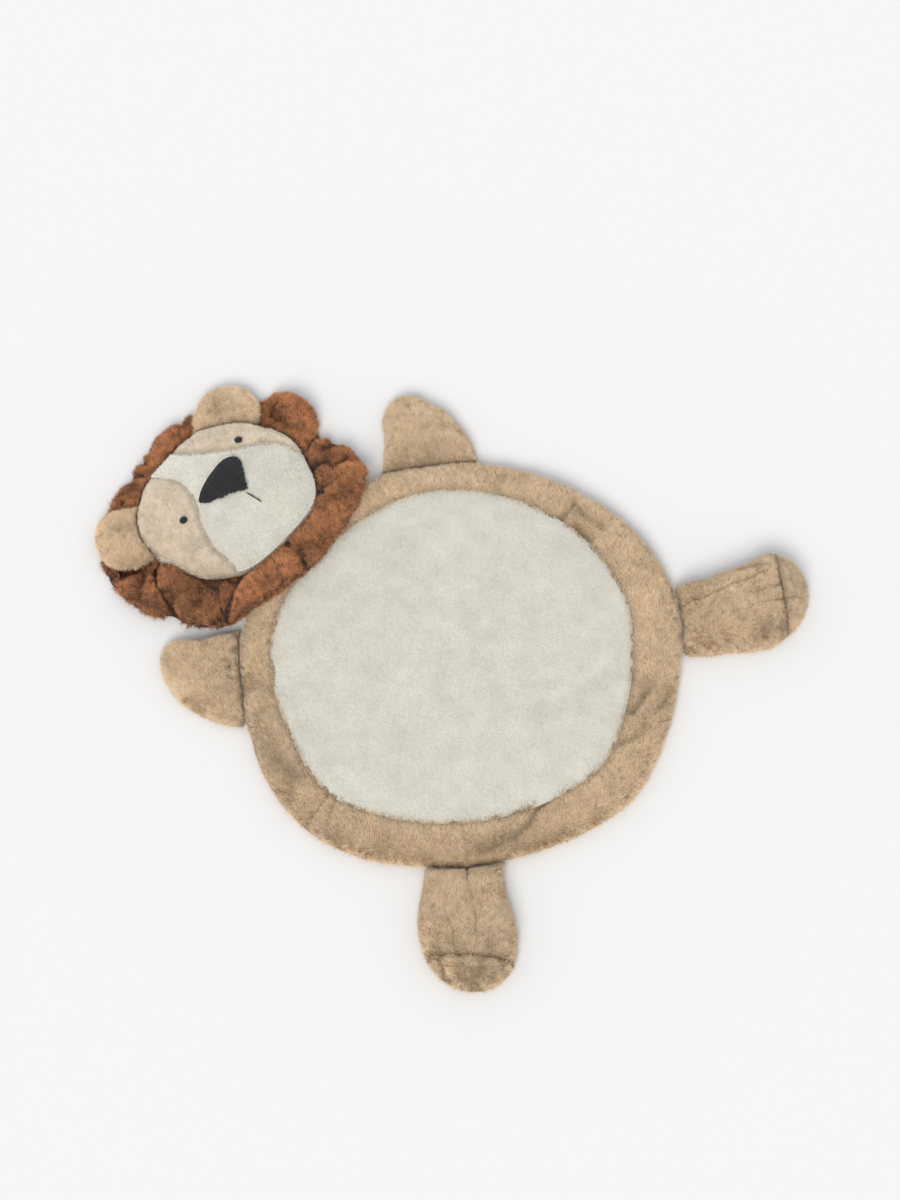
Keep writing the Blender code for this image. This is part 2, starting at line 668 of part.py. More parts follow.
def make_mane(supports):
    """The gathered ring around the face, on the floor and over the body's edge."""
    angles = even_angles(SPOKES)
    inner = face_edge(angles) + SEWN_GAP
    outer = MANE_RADIUS * around(MANE_EDGE, 1, angles)
    crest = around(MANE_EDGE, 2, angles) * MM
    seats = ear_seats()

    def plan_at(share):
        return polar(FACE_CENTRE, inner + (outer - inner) * share, angles)

    def ground(plan):
        return rest_height(supports, plan, MANE_REACH)

    middle_ground = smoothed_round(ground(plan_at(MANE_GROUND_PLACE)), 3)
    seam = face_lean(plan_at(0)) - MANE_STEP
    outer_ground = ground(plan_at(1))
    outer_height = np.where(outer_ground > 0, outer_ground + MANE_EDGE_RISE, MANE_EDGE_HEIGHT)

    def top(share):
        plan = plan_at(share)
        ridge = middle_ground + crest
        if share < MANE_CREST_PLACE:
            height = seam + (ridge - seam) * math.sin(math.pi / 2 * share / MANE_CREST_PLACE)
        else:
            down = (share - MANE_CREST_PLACE) / (1 - MANE_CREST_PLACE)
            height = outer_height + (ridge - outer_height) * (1 - down**2.6) ** 0.6
        height = height - pressed(plan, MANE_FOLDS) * (1 - abs(2 * share - 1) ** 4)
        for outline, root, heading in seats:
            full, none = EAR_BED_MARGIN
            weight = np.clip((none - distance_outside(plan, outline)) / (none - full), 0, 1)
            bed = ear_seat_height(plan, root, heading) - LAID_GAP
            height = height + weight * (np.minimum(height, bed) - height)
        return ring(plan, np.maximum(height, ground(plan) + MANE_LEAST))

    rings = []
    for share in MANE_UNDERSIDE:
        plan = plan_at(share)
        floor = ground(plan)
        rings.append(ring(plan, np.where(floor > 0, floor + DRAPED_GAP, 0)))
    edge_plan = plan_at(1)
    rings.append(ring(edge_plan, np.minimum(outer_height, top(MANE_TOP[0])[:, 2] - MANE_STEP)))
    rings += [top(share) for share in MANE_TOP]
    rings.append(top(0))
    wall_plan = plan_at(0)
    wall_floor = ground(wall_plan)
    wall_foot = np.where(wall_floor > 0, wall_floor + DRAPED_GAP + MANE_STEP, MANE_WALL_FOOT)
    rings.append(ring(wall_plan, wall_foot))
    return mesh_of_rings("mane", rings, closed_round=True)


def limb_outline(root, heading, sections, tip, centre, edge, count):
    """The outline of a piece sewn to a round edge: its free side, then its seam along that edge."""
    turn = math.radians(heading)
    out = np.array((math.cos(turn), math.sin(turn)))
    left = np.array((-math.sin(turn), math.cos(turn)))
    rights = [root + (row[0] * out - row[2] * left) * MM for row in sections]
    lefts = [root + (row[0] * out + row[1] * left) * MM for row in reversed(sections)]
    free = rights + [root + (tip[0] * out + tip[1] * left) * MM] + lefts
    start, end = [math.degrees(math.atan2(*(free[i] - centre)[::-1])) for i in (0, -1)]
    if end < start:
        end += 360
    for index, angle in ((0, start), (-1, end)):
        free[index] = polar(centre, edge(np.array([angle])) + SEWN_GAP, np.array([angle]))[0]
    seam_count = count // 3
    free_points = even_curve(free, count - seam_count + 2)
    seam_angles = np.linspace(end, start, seam_count)[1:-1]
    seam_points = polar(centre, edge(seam_angles) + SEWN_GAP, seam_angles)
    return np.concatenate((free_points, seam_points))


def pad_rings(outline, middle, bottom, height, edge, thinning):
    """Rings of a filled piece: under, around its edge and over its crown.

    bottom and height take a plan and give the piece's underside and its thickness there. Its widest line
    is an edge's height over the underside.
    """
    rings = []

    def plan_at(share):
        return middle + share * (outline - middle)

    seat = plan_at(LIMB_SEAT)
    rings.append(thinned(ring(seat, bottom(seat)), thinning))
    for share, part in LIMB_UNDERSIDE:
        plan = plan_at(share)
        rings.append(ring(plan, bottom(plan) + part * edge))
    for share, part in reversed(LIMB_CROWN[1:]):
        plan = plan_at(share)
        rise = edge + (height(plan) - edge) * part
        one_ring = ring(plan, bottom(plan) + rise)
        rings.append(thinned(one_ring, thinning if share < LIMB_THINNED_WITHIN else 0))
    return rings


def on_floor(plan):
    return np.zeros(len(plan))


def add_arms():
    """The flat arms, sewn into the body's edge. Gives their surfaces, which the mane lies on."""
    surfaces = []
    for name, turn, heading, sections, tip, height in ARMS:
        root = polar((0, 0), body_edge(np.array([turn])), np.array([turn]))[0]
        outline = limb_outline(root, heading, sections, tip, (0, 0), body_edge, ARM_POINTS)

        def thick(plan, start=root, full=height * MM):
            away = np.clip(np.linalg.norm(plan - start, axis=1) / ARM_RISE_LENGTH, 0, 1)
            return full * (ARM_SEAM_SHARE + (1 - ARM_SEAM_SHARE) * away)

        rings = pad_rings(outline, outline.mean(axis=0), on_floor, thick, EDGE_HEIGHT, 1)
        mesh = mesh_of_rings(name, rings)
        surfaces.append(surface_of(mesh))
        add_piece(name, mesh, BEIGE, tuple(root))
    return surfaces


def split(mesh, name, point, normal):
    """The part of a closed mesh on one side of an upright plane, closed again."""
    bm = bmesh.new()
    bm.from_mesh(mesh)
    everything = bm.verts[:] + bm.edges[:] + bm.faces[:]
    bmesh.ops.bisect_plane(bm, geom=everything, plane_co=point, plane_no=normal, clear_outer=True)
    rim = [edge for edge in bm.edges if edge.is_boundary]
    bmesh.ops.holes_fill(bm, edges=rim, sides=0)
    bmesh.ops.recalc_face_normals(bm, faces=bm.faces)
    result = bpy.data.meshes.new(name)
    bm.to_mesh(result)
    bm.free()
    return result


def add_legs():
    """The stuffed legs, each with a cap sewn across its toe end."""
    for leg_name, cap_name, turn, heading, sections, tip, height, seam_out, seam_turn in LEGS:
        root = polar((0, 0), body_edge(np.array([turn])), np.array([turn]))[0]
        outline = limb_outline(root, heading, sections, tip, (0, 0), body_edge, LEG_POINTS)
        axis = np.array((math.cos(math.radians(heading)), math.sin(math.radians(heading))))
        seam_middle = root + seam_out * MM * axis
        cut_turn = math.radians(heading + seam_turn)
        normal = np.array((math.cos(cut_turn), math.sin(cut_turn)))

        def thick(plan, start=root, full=height * MM, out=axis, at=seam_middle, across=normal):
            along = (plan - start) @ out
            swell = LEG_SEAM_SHARE + (1 - LEG_SEAM_SHARE) * np.clip(along / LEG_RISE_LENGTH, 0, 1)
            crease = TOE_CREASE_SHARE * np.exp(-((((plan - at) @ across) / TOE_CREASE_WIDTH) ** 2))
            return full * (swell - crease)

        along = np.clip((outline - root) @ axis, LEG_SPINE[0] * tip[0] * MM, LEG_SPINE[1] * tip[0] * MM)
        middle = root + along[:, None] * axis
        rings = pad_rings(outline, middle, on_floor, thick, EDGE_HEIGHT, 0)
        whole = mesh_of_rings(leg_name, rings)
        for name, side in ((leg_name, 1), (cap_name, -1)):
            point = seam_middle - side * 0.5 * SEWN_GAP * normal
            half = split(whole, name, (*point, 0), (*(side * normal), 0))
            add_piece(name, half, BEIGE, tuple(root if side == 1 else seam_middle))
        bpy.data.meshes.remove(whole)


def add_ears(supports):
    """The ears, sewn at the face's edge and lying on the mane."""
    for (name, _, _, _, _, thickness), (outline, root, heading) in zip(EARS, ear_seats()):

        def bottom(plan, start=root, turn=heading):
            carried = rest_height(supports, plan, EAR_REACH) + LAID_GAP
            return np.maximum(ear_seat_height(plan, start, turn), carried)

        def thick(plan, full=thickness * MM):
            return np.full(len(plan), full)

        rings = pad_rings(outline, outline.mean(axis=0), bottom, thick, EAR_EDGE_HEIGHT, 1)
        add_piece(name, mesh_of_rings(name, rings), BEIGE, tuple(root))


def stand_at_origin():
    """Parents every piece to one empty, and moves it so the mat's base is centred on the origin."""
    bpy.context.view_layer.update()
    mat = bpy.data.objects.new("play_mat", None)
    bpy.context.collection.objects.link(mat)
    corners = []
    for piece in list(bpy.data.objects):
        if piece.type != "MESH":
            continue
        piece.parent = mat
        if not piece.hide_render:
            corners += [piece.matrix_world @ v.co for v in piece.data.vertices]
    corners = np.array(corners)
    middle = (corners.min(axis=0) + corners.max(axis=0)) / 2
    mat.location = (-middle[0], -middle[1], -corners[:, 2].min())


def main():
    for old in list(bpy.data.objects):
        bpy.data.objects.remove(old, do_unlink=True)
    body = make_body()
    belly = make_belly_panel()
    body_surface = surface_of(body)
    belly_surface = surface_of(belly)
    arm_surfaces = add_arms()
    add_face(body_surface)
    mane = make_mane([body_surface, belly_surface] + arm_surfaces)
    mane_surface = surface_of(mane)
    add_ears([mane_surface])
    add_piece("body", body, BEIGE, (0, 0))
    add_piece("belly_panel", belly, CREAM, (0, 0))
    add_piece("mane", mane, BROWN, FACE_CENTRE)
    add_legs()
    stand_at_origin()


main()
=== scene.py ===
"""The looks of a padded plush play mat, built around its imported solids.

Each filled piece is an even copy of its solid, drawn in by the depth of its pile, filled out by a cloth
simulation and pressed into seams and folds. The pile is a mesh of short tapered tufts of its own, which
reaches out to the solid's surface. The nose, the eyes and the mouth are laid stitch by stitch.
"""

import math

import bmesh
import bpy
import numpy as np
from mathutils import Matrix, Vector
from mathutils.bvhtree import BVHTree


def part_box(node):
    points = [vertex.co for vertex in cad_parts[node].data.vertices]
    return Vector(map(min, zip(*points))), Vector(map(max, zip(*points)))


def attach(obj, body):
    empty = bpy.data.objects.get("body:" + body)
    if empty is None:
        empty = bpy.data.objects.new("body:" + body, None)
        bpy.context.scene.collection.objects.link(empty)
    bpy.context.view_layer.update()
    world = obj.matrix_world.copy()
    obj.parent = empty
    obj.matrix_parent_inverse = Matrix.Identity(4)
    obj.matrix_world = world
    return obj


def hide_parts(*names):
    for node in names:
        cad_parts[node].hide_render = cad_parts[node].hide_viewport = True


MM = 0.001

# The camera, in metres, with its lens in mm on a 36 mm sensor along the picture's long side
CAMERA_AIM = (0.05442, -0.03472, 0.0)
CAMERA_HEADING = (0.31423, 0.24287, -0.91775)
CAMERA_DISTANCE = 4.0
CAMERA_LENS = 88.2
CAMERA_SENSOR = 36.0

# Light: cool daylight all round, and a broad warm key, its width in degrees, from low in the picture and a
# little to the left
SKY_STRENGTH = 0.71
SKY_COLOUR = (0.965, 0.985, 1.02)
KEY_STRENGTH = 2.0
KEY_COLOUR = (1.06, 1.02, 0.95)
KEY_WIDTH = 28.0
KEY_HEADING = (0.62, 0.30, -0.72)
FLOOR_SIZE = 30.0
FLOOR_DROP = 0.0002

# Colours as sRGB from 0 to 255: at the tips of the pile, then at its roots, which are darker partly as
# painted shade deep in the pile; the cloth under the pile takes the roots' colour
BEIGE = ((232, 211, 181), (184, 154, 118))
PALE_BEIGE = ((240, 229, 213), (214, 196, 169))
CREAM = ((242, 241, 233), (222, 220, 209))
BROWN = ((207, 146, 101), (88, 43, 21))
BLACK = (25, 26, 29)
EDGING = (236, 226, 206)
FLOOR = (230, 230, 230)

# How far a tuft's colour turns to gold, warmer and a little darker: where the pile is brushed the other way,
# and as painted shade in folds
WARM = (0.97, 0.93, 0.86)

# How each cloth's pile stands: length, depth and blade width in mm, lean in degrees, spread of the lean,
# clumping, contrast between its tufts, and how much of it is brushed the other way
PILE = {
    "beige": (6.5, 4.0, 0.9, 46, 0.28, 0.60, 0.09, 0.3),
    "pale": (4.6, 2.8, 0.8, 46, 0.25, 0.55, 0.08, 0.2),
    "cream": (4.2, 2.6, 0.8, 48, 0.09, 0.30, 0.03, 0.0),
    "brown": (8.5, 4.8, 0.9, 46, 0.40, 0.90, 0.24, 0.4),
}

# Where a tuft stands in its skin, and the lowest that each part of a piece may lie
ROOT_DEPTH = 0.4 * MM
LOWEST_TIP = 0.3 * MM
LOWEST_ROOT = 0.2 * MM
LOWEST_SKIN = 0.1 * MM

# How the pile's flow varies: the dip of its tips, where it is brushed the other way and how far it turns, the
# strength and size of each noise, and how far single tufts stray
NAP_DIP = -0.15
BRUSH_SIZES = (27 * MM, 11 * MM)
BRUSH_SECOND = 0.6
BRUSH_START = 0.35
BRUSH_RANGE = 0.5
BRUSH_TURN = 1.5
WIDE_FLOW = (1.3, 45 * MM)
NEAR_FLOW = (1.1, 14 * MM)
CLUMP_FLOW = (1.6, 5 * MM)
STRAY_FLOW = 0.45

# How single tufts vary: lean in degrees, with its limits in radians, length, turn in radians, width, and how
# far a tuft follows a fold that its skin is too coarse for
LEAN_STRAY = 9
LEAN_DRIFT = (10, 20 * MM)
LEAN_LIMITS = (0.15, 1.35)
LENGTH_STRAY = 0.16
LENGTH_LIMITS = (0.3, 1.4)
BLADE_TURN = 0.8
BLADE_WIDTHS = (0.7, 1.3)
FOLD_MISSED = (-1.2 * MM, 2.0 * MM)

# How the pile's tone varies: share, size and seed of each noise, share from tuft to tuft, the darkest tone,
# and where it turns to gold:
# at random, where the pile is brushed, and as painted shade in folds
TONE_NOISES = ((0.25, 60 * MM, 50), (0.25, 16 * MM, 51), (0.9, 6.5 * MM, 52), (0.9, 3.4 * MM, 53))
TONE_STRAY = 0.6
DARKEST = 0.15
GOLD_BASE = 0.15
GOLD_BRUSHED = 0.4
GOLD_DRIFT = (0.3, 34 * MM)
GOLD_IN_VALLEY_SHADE = 0.4

# Each tuft's own small triangle on its UV map, in map units
MAP_CELL = ((-0.0006, 0.0), (0.0006, 0.0), (0.0, 0.0016))

# Filled pieces: node, cloth, slot, voxel in mm, smoothing, number of blades, way the pile lies in degrees,
# fill, slack of the cloth as a share, pressure of its filling
FILLED = (
    ("body", "beige", "beige_plush", 5.0, 8, 160000, 35, 0.5, 0.015, 3.0),
    ("head", "pale", "pale_beige_plush", 3.0, 6, 60000, 45, 0.7, 0.01, 4.0),
    ("mane", "brown", "brown_plush", 3.5, 5, 165000, 50, 0.6, 0.06, 4.0),
    ("ear_left", "beige", "beige_plush", 2.5, 5, 20000, 70, 0.6, 0.03, 4.0),
    ("ear_right", "beige", "beige_plush", 2.5, 5, 20000, 50, 0.6, 0.03, 4.0),
    ("arm_left", "beige", "beige_plush", 3.0, 10, 32000, 70, 0.6, 0.015, 4.0),
    ("arm_right", "beige", "beige_plush", 3.0, 10, 32000, 50, 0.6, 0.015, 4.0),
    ("leg_left", "beige", "beige_plush", 3.5, 8, 44000, 20, 0.8, 0.015, 4.0),
    ("leg_right", "beige", "beige_plush", 3.5, 8, 44000, 10, 0.8, 0.03, 4.0),
    ("toe_cap_left", "beige", "beige_plush", 3.0, 8, 14000, 20, 0.8, 0.02, 4.0),
    ("toe_cap_right", "beige", "beige_plush", 3.0, 8, 14000, 10, 0.8, 0.015, 4.0),
)

# Sheets of cloth: node, cloth, slot, rings, spokes, number of blades, way of the pile in degrees, and what
# they lie on
SHEETS = (
    ("belly_panel", "cream", "cream_plush", 56, 170, 110000, 40, "body"),
    ("muzzle_panel", "cream", "cream_plush", 40, 120, 45000, 45, "head"),
)

# Which pieces are sewn to each other, so that a seam runs where they meet
SEWN = (
    ("body", "belly_panel"), ("body", "arm_left"), ("body", "arm_right"), ("body", "leg_left"),
    ("body", "leg_right"), ("head", "muzzle_panel"), ("head", "mane"), ("muzzle_panel", "mane"),
    ("head", "ear_left"), ("head", "ear_right"), ("leg_left", "toe_cap_left"), ("leg_right", "toe_cap_right"),
)

# Seams: how deep and wide they draw the cloth in, how they shorten the pile, how much painted shade they lay
# on the pile and on the cloth under it, and their gathers
SEAM_SINK = 1.8 * MM
SEAM_WIDTH = 6.0 * MM
SEAM_SHORTENING = 0.4
SEAM_SHADE = 0.20
# Painted shade on the cloth under the pile, near seams and in folds
SKIN_SHADE = 0.55
GATHER_DEPTH = 0.9 * MM
GATHER_LENGTH = 20 * MM
GATHER_STEP = 9 * MM
GATHER_START = 4 * MM

# Where a piece is hidden by its neighbours, and where it reaches to the body's rounded rim
HIDDEN_REACH = 5.0 * MM
HIDDEN_INSET = 0.4 * MM
COVER_EVENING = 2
UNDERSIDE_START = 0.25
UNDERSIDE_RANGE = 0.4
UNDERSIDE_HEIGHT = 9 * MM
AT_THE_RIM = ("arm_left", "arm_right", "leg_left", "leg_right")
RIM_REACH = 1.8 * MM
RIM_WIDTH = 3.0 * MM

# Uneven cloth: share of the pile's depth that a skin keeps, and the depth and size of its waves
SKIN_ROOM = 0.75
SKIN_WAVES = ((0.6 * MM, 26 * MM), (0.4 * MM, 9 * MM))
SHEET_WAVES = ((0.3 * MM, 40 * MM), (0.15 * MM, 9 * MM))
SHEET_EVENING = 6
SHEET_LIFT = 0.6 * MM
SHEET_GAP = 0.1 * MM
SHEET_GATHER_STEP = 1.4 * GATHER_STEP

# The noise's lattice, how far out of a piece its neighbours are looked for, and how far away a seam is
LATTICE = 32
CLEAR = 0.1 * MM
SEAM_SEARCH = 0.05

# The cloth simulation: frames, how much smaller a piece starts, how often its movement is evened, how far a
# point may move, and which points are held: those hidden, near a seam or near the floor
CLOTH_FRAMES = 8
CLOTH_ROOM = 2.0 * MM
CLOTH_EVENING = 2
CLOTH_CAP = 5.0 * MM
HELD_COVER = 0.35
HELD_SEAM = 4.5 * MM
HELD_HEIGHT = 4 * MM

# Folds and ridges pressed into the cloth: node, depth and half-width in mm (a ridge has a depth below 0), and
# the line in mm
FOLDS = (
    ("mane", 8.4, 8, ((-206, 346), (-187, 336), (-177, 326))),
    ("mane", 5.6, 8, ((-170, 316), (-191, 299), (-205, 291))),
    ("mane", 12.6, 5.8, ((-158, 306), (-183, 282), (-189, 262), (-190, 250), (-195, 242))),
    ("mane", -3.2, 6, ((-150, 297), (-173, 274), (-179, 257), (-181, 243))),
    ("mane", 8.4, 4.6, ((-134, 214), (-146, 203), (-160, 186))),
    ("mane", 5.6, 13.8, ((-146, 228), (-167, 219))),
    ("mane", 5.6, 4.6, ((-117, 211), (-124, 198))),
    ("mane", 8.4, 6.9, ((-95, 194), (-118, 192), (-142, 184), (-158, 179))),
    ("mane", -3.2, 6, ((-99, 181), (-121, 178), (-140, 173))),
    ("mane", 8.4, 6.9, ((-186, 178), (-172, 175))),
    ("mane", 5.5, 3.4, ((-33, 176), (-31, 170), (-35, 157), (-39, 141), (-47, 132), (-46, 125))),
    ("mane", 7, 4.6, ((-51, 130), (-91, 142), (-130, 152), (-159, 157))),
    ("mane", -2, 5, ((-54, 139), (-91, 151), (-128, 161))),
    ("mane", 4.2, 4.6, ((80, 137), (58, 131), (20, 127), (8, 126))),
    ("mane", 7, 10.3, ((125, 328), (113, 295))),
    ("mane", 9.8, 5.8, ((100, 250), (119, 256), (130, 250))),
    ("mane", -2.6, 6, ((102, 263), (119, 268))),
    ("mane", 7, 9.2, ((117, 234), (134, 227))),
    ("mane", 7, 4.6, ((78, 222), (91, 220), (104, 213))),
    ("mane", 9.8, 4.6, ((97, 204), (110, 201), (125, 200))),
    ("mane", -2.6, 6, ((84, 211), (97, 212), (112, 208))),
    ("mane", 6.0, 4.6, ((66, 192), (70, 187), (77, 184), (95, 182))),
    ("mane", 5.6, 4.6, ((50, 193), (62, 189))),
    ("mane", 4.2, 4.6, ((100, 144), (65, 135), (47, 129))),
    ("mane", 3.5, 11.5, ((73, 166), (37, 168))),
    ("mane", 8.4, 4.6, ((40, 434), (31, 422))),
    ("mane", 7, 4.6, ((-19, 426), (-31, 424))),
    ("mane", 8.4, 4.6, ((-55, 432), (-49, 427), (-44, 418))),
    ("mane", 9.8, 4.6, ((-78, 420), (-70, 417), (-62, 405))),
    ("mane", 7, 5.8, ((-112, 408), (-104, 408))),
    ("body", 2.6, 10, ((-226, 104), (-212, 87), (-208, 72))),
    ("body", -0.6, 11, ((-236, 96), (-226, 78))),
    ("body", 2.5, 8, ((-242, 56), (-227, 53))),
    ("body", 3, 12, ((-270, 18), (-277, -8), (-283, -34))),
    ("body", 2.5, 7, ((-271, 40), (-283, 16))),
    ("body", 4.5, 3.2, ((-262, -86), (-273, -86), (-297, -88), (-323, -87))),
    ("body", -1.2, 5, ((-272, -93), (-297, -96))),
    ("body", 3, 4, ((-305, -127), (-313, -141))),
    ("body", 2.5, 5, ((-275, -99), (-293, -106))),
    ("body", 2.5, 6, ((238, 12), (216, 9))),
    ("body", 4.5, 6, ((260, -91), (242, -90), (227, -88))),
    ("body", -1.5, 6, ((256, -78), (236, -76))),
    ("body", 4, 6, ((233, -141), (233, -125), (236, -108))),
    ("body", 3, 7, ((256, -101), (254, -122), (256, -141))),
    ("body", 4.2, 7, ((-104, -316), (-142, -319), (-169, -315), (-189, -305), (-211, -291))),
    ("body", -1.5, 8, ((-118, -303), (-150, -303), (-176, -293))),
    ("body", 4, 8, ((102, -332), (81, -334), (64, -334))),
    ("body", -1.5, 7, ((104, -344), (76, -346))),
    ("body", 3, 8, ((54, -360), (34, -356), (19, -351))),
    ("body", 3, 8, ((119, -353), (92, -358))),
    ("belly_panel", 2.6, 13, ((-30, -222), (9, -252), (42, -271), (80, -280), (122, -278), (146, -274))),
    ("belly_panel", -1.4, 12, ((-10, -206), (34, -240), (80, -254), (122, -254))),
    ("belly_panel", 0.8, 5, ((-156, -166), (-145, -180), (-136, -192))),
    ("belly_panel", 1.5, 14, ((-202, 35), (-224, -7), (-235, -50))),
    ("belly_panel", 1.3, 16, ((203, -109), (189, -144), (174, -181))),
    ("belly_panel", 1.3, 18, ((-60, 60), (10, 40), (70, 60))),
    ("leg_left", 4.5, 2.8, ((-232, -282), (-251, -300), (-263, -308))),
    ("leg_left", 3.4, 2.8, ((-263, -308), (-275, -325), (-290, -339), (-305, -354), (-315, -363))),
    ("leg_left", 3.0, 4, ((-326, -334), (-336, -345), (-346, -356))),
    ("leg_left", 2.5, 4, ((-336, -318), (-348, -329), (-358, -339))),
    ("leg_left", 2.0, 7, ((-299, -373), (-314, -384), (-322, -391))),
    ("leg_left", 1.4, 9, ((-300, -320), (-318, -318))),
    ("toe_cap_left", 3.5, 3, ((-352, -334), (-364, -348), (-371, -360))),
    ("toe_cap_left", 3.0, 4, ((-343, -354), (-359, -372))),
    ("toe_cap_left", 2.5, 8, ((-334, -388), (-352, -392))),
    ("toe_cap_left", 2.5, 6, ((-318, -402), (-326, -417))),
    ("leg_right", 3.2, 2.8, ((230, -290), (248, -316), (265, -325), (290, -340), (315, -354), (330, -359))),
    ("leg_right", 3.2, 2.8, ((286, -384), (298, -392), (310, -401))),
    ("toe_cap_right", 3.2, 2.8, ((309, -401), (321, -410), (333, -417))),
    ("leg_right", 2.6, 4, ((300, -369), (313, -379), (327, -387))),
    ("leg_right", -1.5, 5, ((303, -379), (316, -389))),
    ("leg_right", 2.4, 5, ((309, -328), (324, -341), (338, -352))),
    ("leg_right", 2.0, 6, ((264, -343), (257, -363))),
    ("leg_right", 2.6, 7, ((258, -401), (274, -410), (284, -421))),
    ("leg_right", 1.6, 6, ((284, -356), (296, -366))),
    ("arm_right", 1.6, 8, ((226, 146), (238, 137), (246, 122))),
    ("arm_right", 1.4, 9, ((204, 118), (216, 112))),
    ("arm_left", 1.6, 8, ((-278, 136), (-275, 121))),
    ("arm_left", 1.8, 8, ((-252, 203), (-258, 186))),
    ("head", 1.5, 9, ((-112, 274), (-126, 262))),
    ("muzzle_panel", 1.6, 1.8, ((-12.4, 257), (-11.4, 237))),
    ("ear_left", 2.0, 8, ((-140, 372), (-152, 384))),
    ("ear_right", 2.0, 9, ((74, 388), (98, 396))),
)

# How folds darken the pile with painted shade and shorten it, the depth at which they do so fully, and how
# uneven they are
FOLD_SHADE = 0.42
FOLD_SHORTENING = 0.5
FOLD_FULL = 5.0 * MM
FOLD_WOBBLE = (1.2, 11 * MM, 71)
FOLD_UNEVEN = (0.25, 13 * MM, 75)

# How much painted shade darkens each cloth's pile where it stands on a slope
FORM_SHADE = {"beige": 0.0, "pale": 0.05, "cream": 0.0, "brown": 0.35}

# Lighter and darker places, partly the cloth's own tone, partly painted shade in folds, creases and where the
# pile leans, and painted light on the crests of the mane's lobes: node, x, y and radius in mm, change of tone
TONE_AND_SHADE_PATCHES = (
    ("body", -278, -8, 40, -0.09), ("body", -246, 30, 20, -0.06), ("body", -322, -118, 45, -0.04),
    ("body", -170, -318, 34, -0.04), ("body", 236, -112, 34, -0.08), ("body", 90, -352, 40, -0.05),
    ("body", -218, 120, 30, 0.05), ("body", 150, 96, 60, 0.05), ("body", 200, -250, 50, 0.03),
    ("muzzle_panel", -30, 250, 300, 0.07), ("muzzle_panel", -50, 385, 60, 0.14),
    ("head", 60, 300, 300, 0.03), ("head", -140, 326, 16, -0.10), ("head", -118, 268, 26, -0.05),
    ("ear_left", -150, 380, 70, 0.08), ("ear_left", -140, 366, 18, -0.06), ("ear_left", -162, 398, 22, 0.06),
    ("ear_right", 96, 388, 70, 0.08), ("ear_right", 84, 372, 18, -0.08), ("ear_right", 78, 396, 12, -0.08),
    ("ear_right", 112, 400, 20, 0.06),
    ("arm_left", -232, 118, 14, -0.08), ("arm_left", -268, 168, 60, 0.08), ("arm_right", 196, 116, 20, -0.12),
    ("leg_left", -318, -372, 24, -0.06), ("leg_left", -262, -300, 30, 0.05),
    ("toe_cap_left", -348, -390, 30, -0.12),
    ("leg_right", 264, -404, 20, -0.08), ("leg_right", 300, -338, 26, 0.03),
    ("mane", 110, 222, 18, -0.34), ("mane", 85, 219, 14, -0.34), ("mane", 61, 196, 16, -0.18),
    ("mane", -132, 220, 16, -0.34), ("mane", -161, 247, 16, -0.34), ("mane", -190, 260, 14, -0.34),
    ("mane", -194, 190, 20, -0.34), ("mane", -187, 338, 14, -0.34), ("mane", 39, 416, 12, -0.34),
    ("mane", -86, 408, 12, -0.34), ("mane", -4, 140, 20, -0.34), ("mane", -27, 150, 14, -0.34),
    ("mane", 128, 332, 12, -0.34), ("mane", 146, 320, 16, 0.24), ("mane", 137, 269, 14, 0.24),
    ("mane", 117, 183, 14, 0.24), ("mane", 72, 184, 10, 0.24), ("mane", 19, 176, 9, 0.24),
    ("mane", -101, 188, 10, 0.24), ("mane", -125, 159, 12, 0.24), ("mane", -187, 236, 8, 0.24),
    ("mane", -187, 287, 12, 0.24), ("mane", -198, 334, 14, 0.24), ("mane", -148, 303, 9, 0.24),
    ("mane", 7, 418, 12, 0.24), ("mane", -25, 420, 9, 0.24), ("mane", -76, 416, 8, 0.24),
    ("mane", -104, 417, 10, 0.24), ("mane", 124, 244, 10, 0.24), ("mane", 47, 152, 14, 0.24),
    ("mane", -159, 181, 12, 0.24), ("mane", -66, 153, 10, 0.24), ("mane", -180, 231, 30, -0.18),
    ("mane", 60, 150, 34, -0.12), ("body", -272, 100, 40, 0.14), ("toe_cap_right", 330, -400, 40, -0.12),
)

# Stitched patches: node, pitch and rise of the threads in mm, crown in mm, raggedness of the ends in mm
STITCHED = (
    ("nose", 1.2, 0.6, 2.0, 2.4),
    ("eye_left", 0.8, 0.4, 0.7, 0.9),
    ("eye_right", 0.8, 0.4, 0.7, 0.9),
)

# How the threads are laid: lean, overlap, step along a thread, how its ends are looked for, how deep it sits
# and waves, how ragged its two ends are, how its rise and shade vary, and how the crown falls off at the edge
STITCH_LEAN = 0.10
STITCH_OVERLAP = 1.35
STITCH_STEP = 1.6 * MM
STITCH_SEARCH = 6 * MM
STITCH_SAMPLE = 0.25 * MM
STITCH_SUNK = 0.5 * MM
STITCH_END_DROP = 0.7 * MM
STITCH_WAVE = 0.12 * MM
STITCH_FEWEST = 6
RAGGED_START = (-0.5, 0.9)
RAGGED_END = (-0.15, 0.15)
RISE_SPREAD = (0.8, 1.25)
SHADE_SPREAD = (0.55, 1.5)
CROWN_SHARE = 0.55
CROWN_END = 6 * MM
CROWN_SIDE = 7 * MM

# The mouth's line in mm, its thread, and the two strokes that it is stitched in
MOUTH = ((-12.5, 263.0), (-12.2, 250.0), (-11.7, 243.5), (-11.4, 237.0))
MOUTH_THICKNESS = 1.8 * MM
MOUTH_SUNK = 2.0 * MM
MOUTH_POINTS = 22
MOUTH_STROKES = ((0, 12), (10, 22))
MOUTH_BOW = 1.0 * MM
MOUTH_RISE = 0.9 * MM
MOUTH_TONE = 0.8

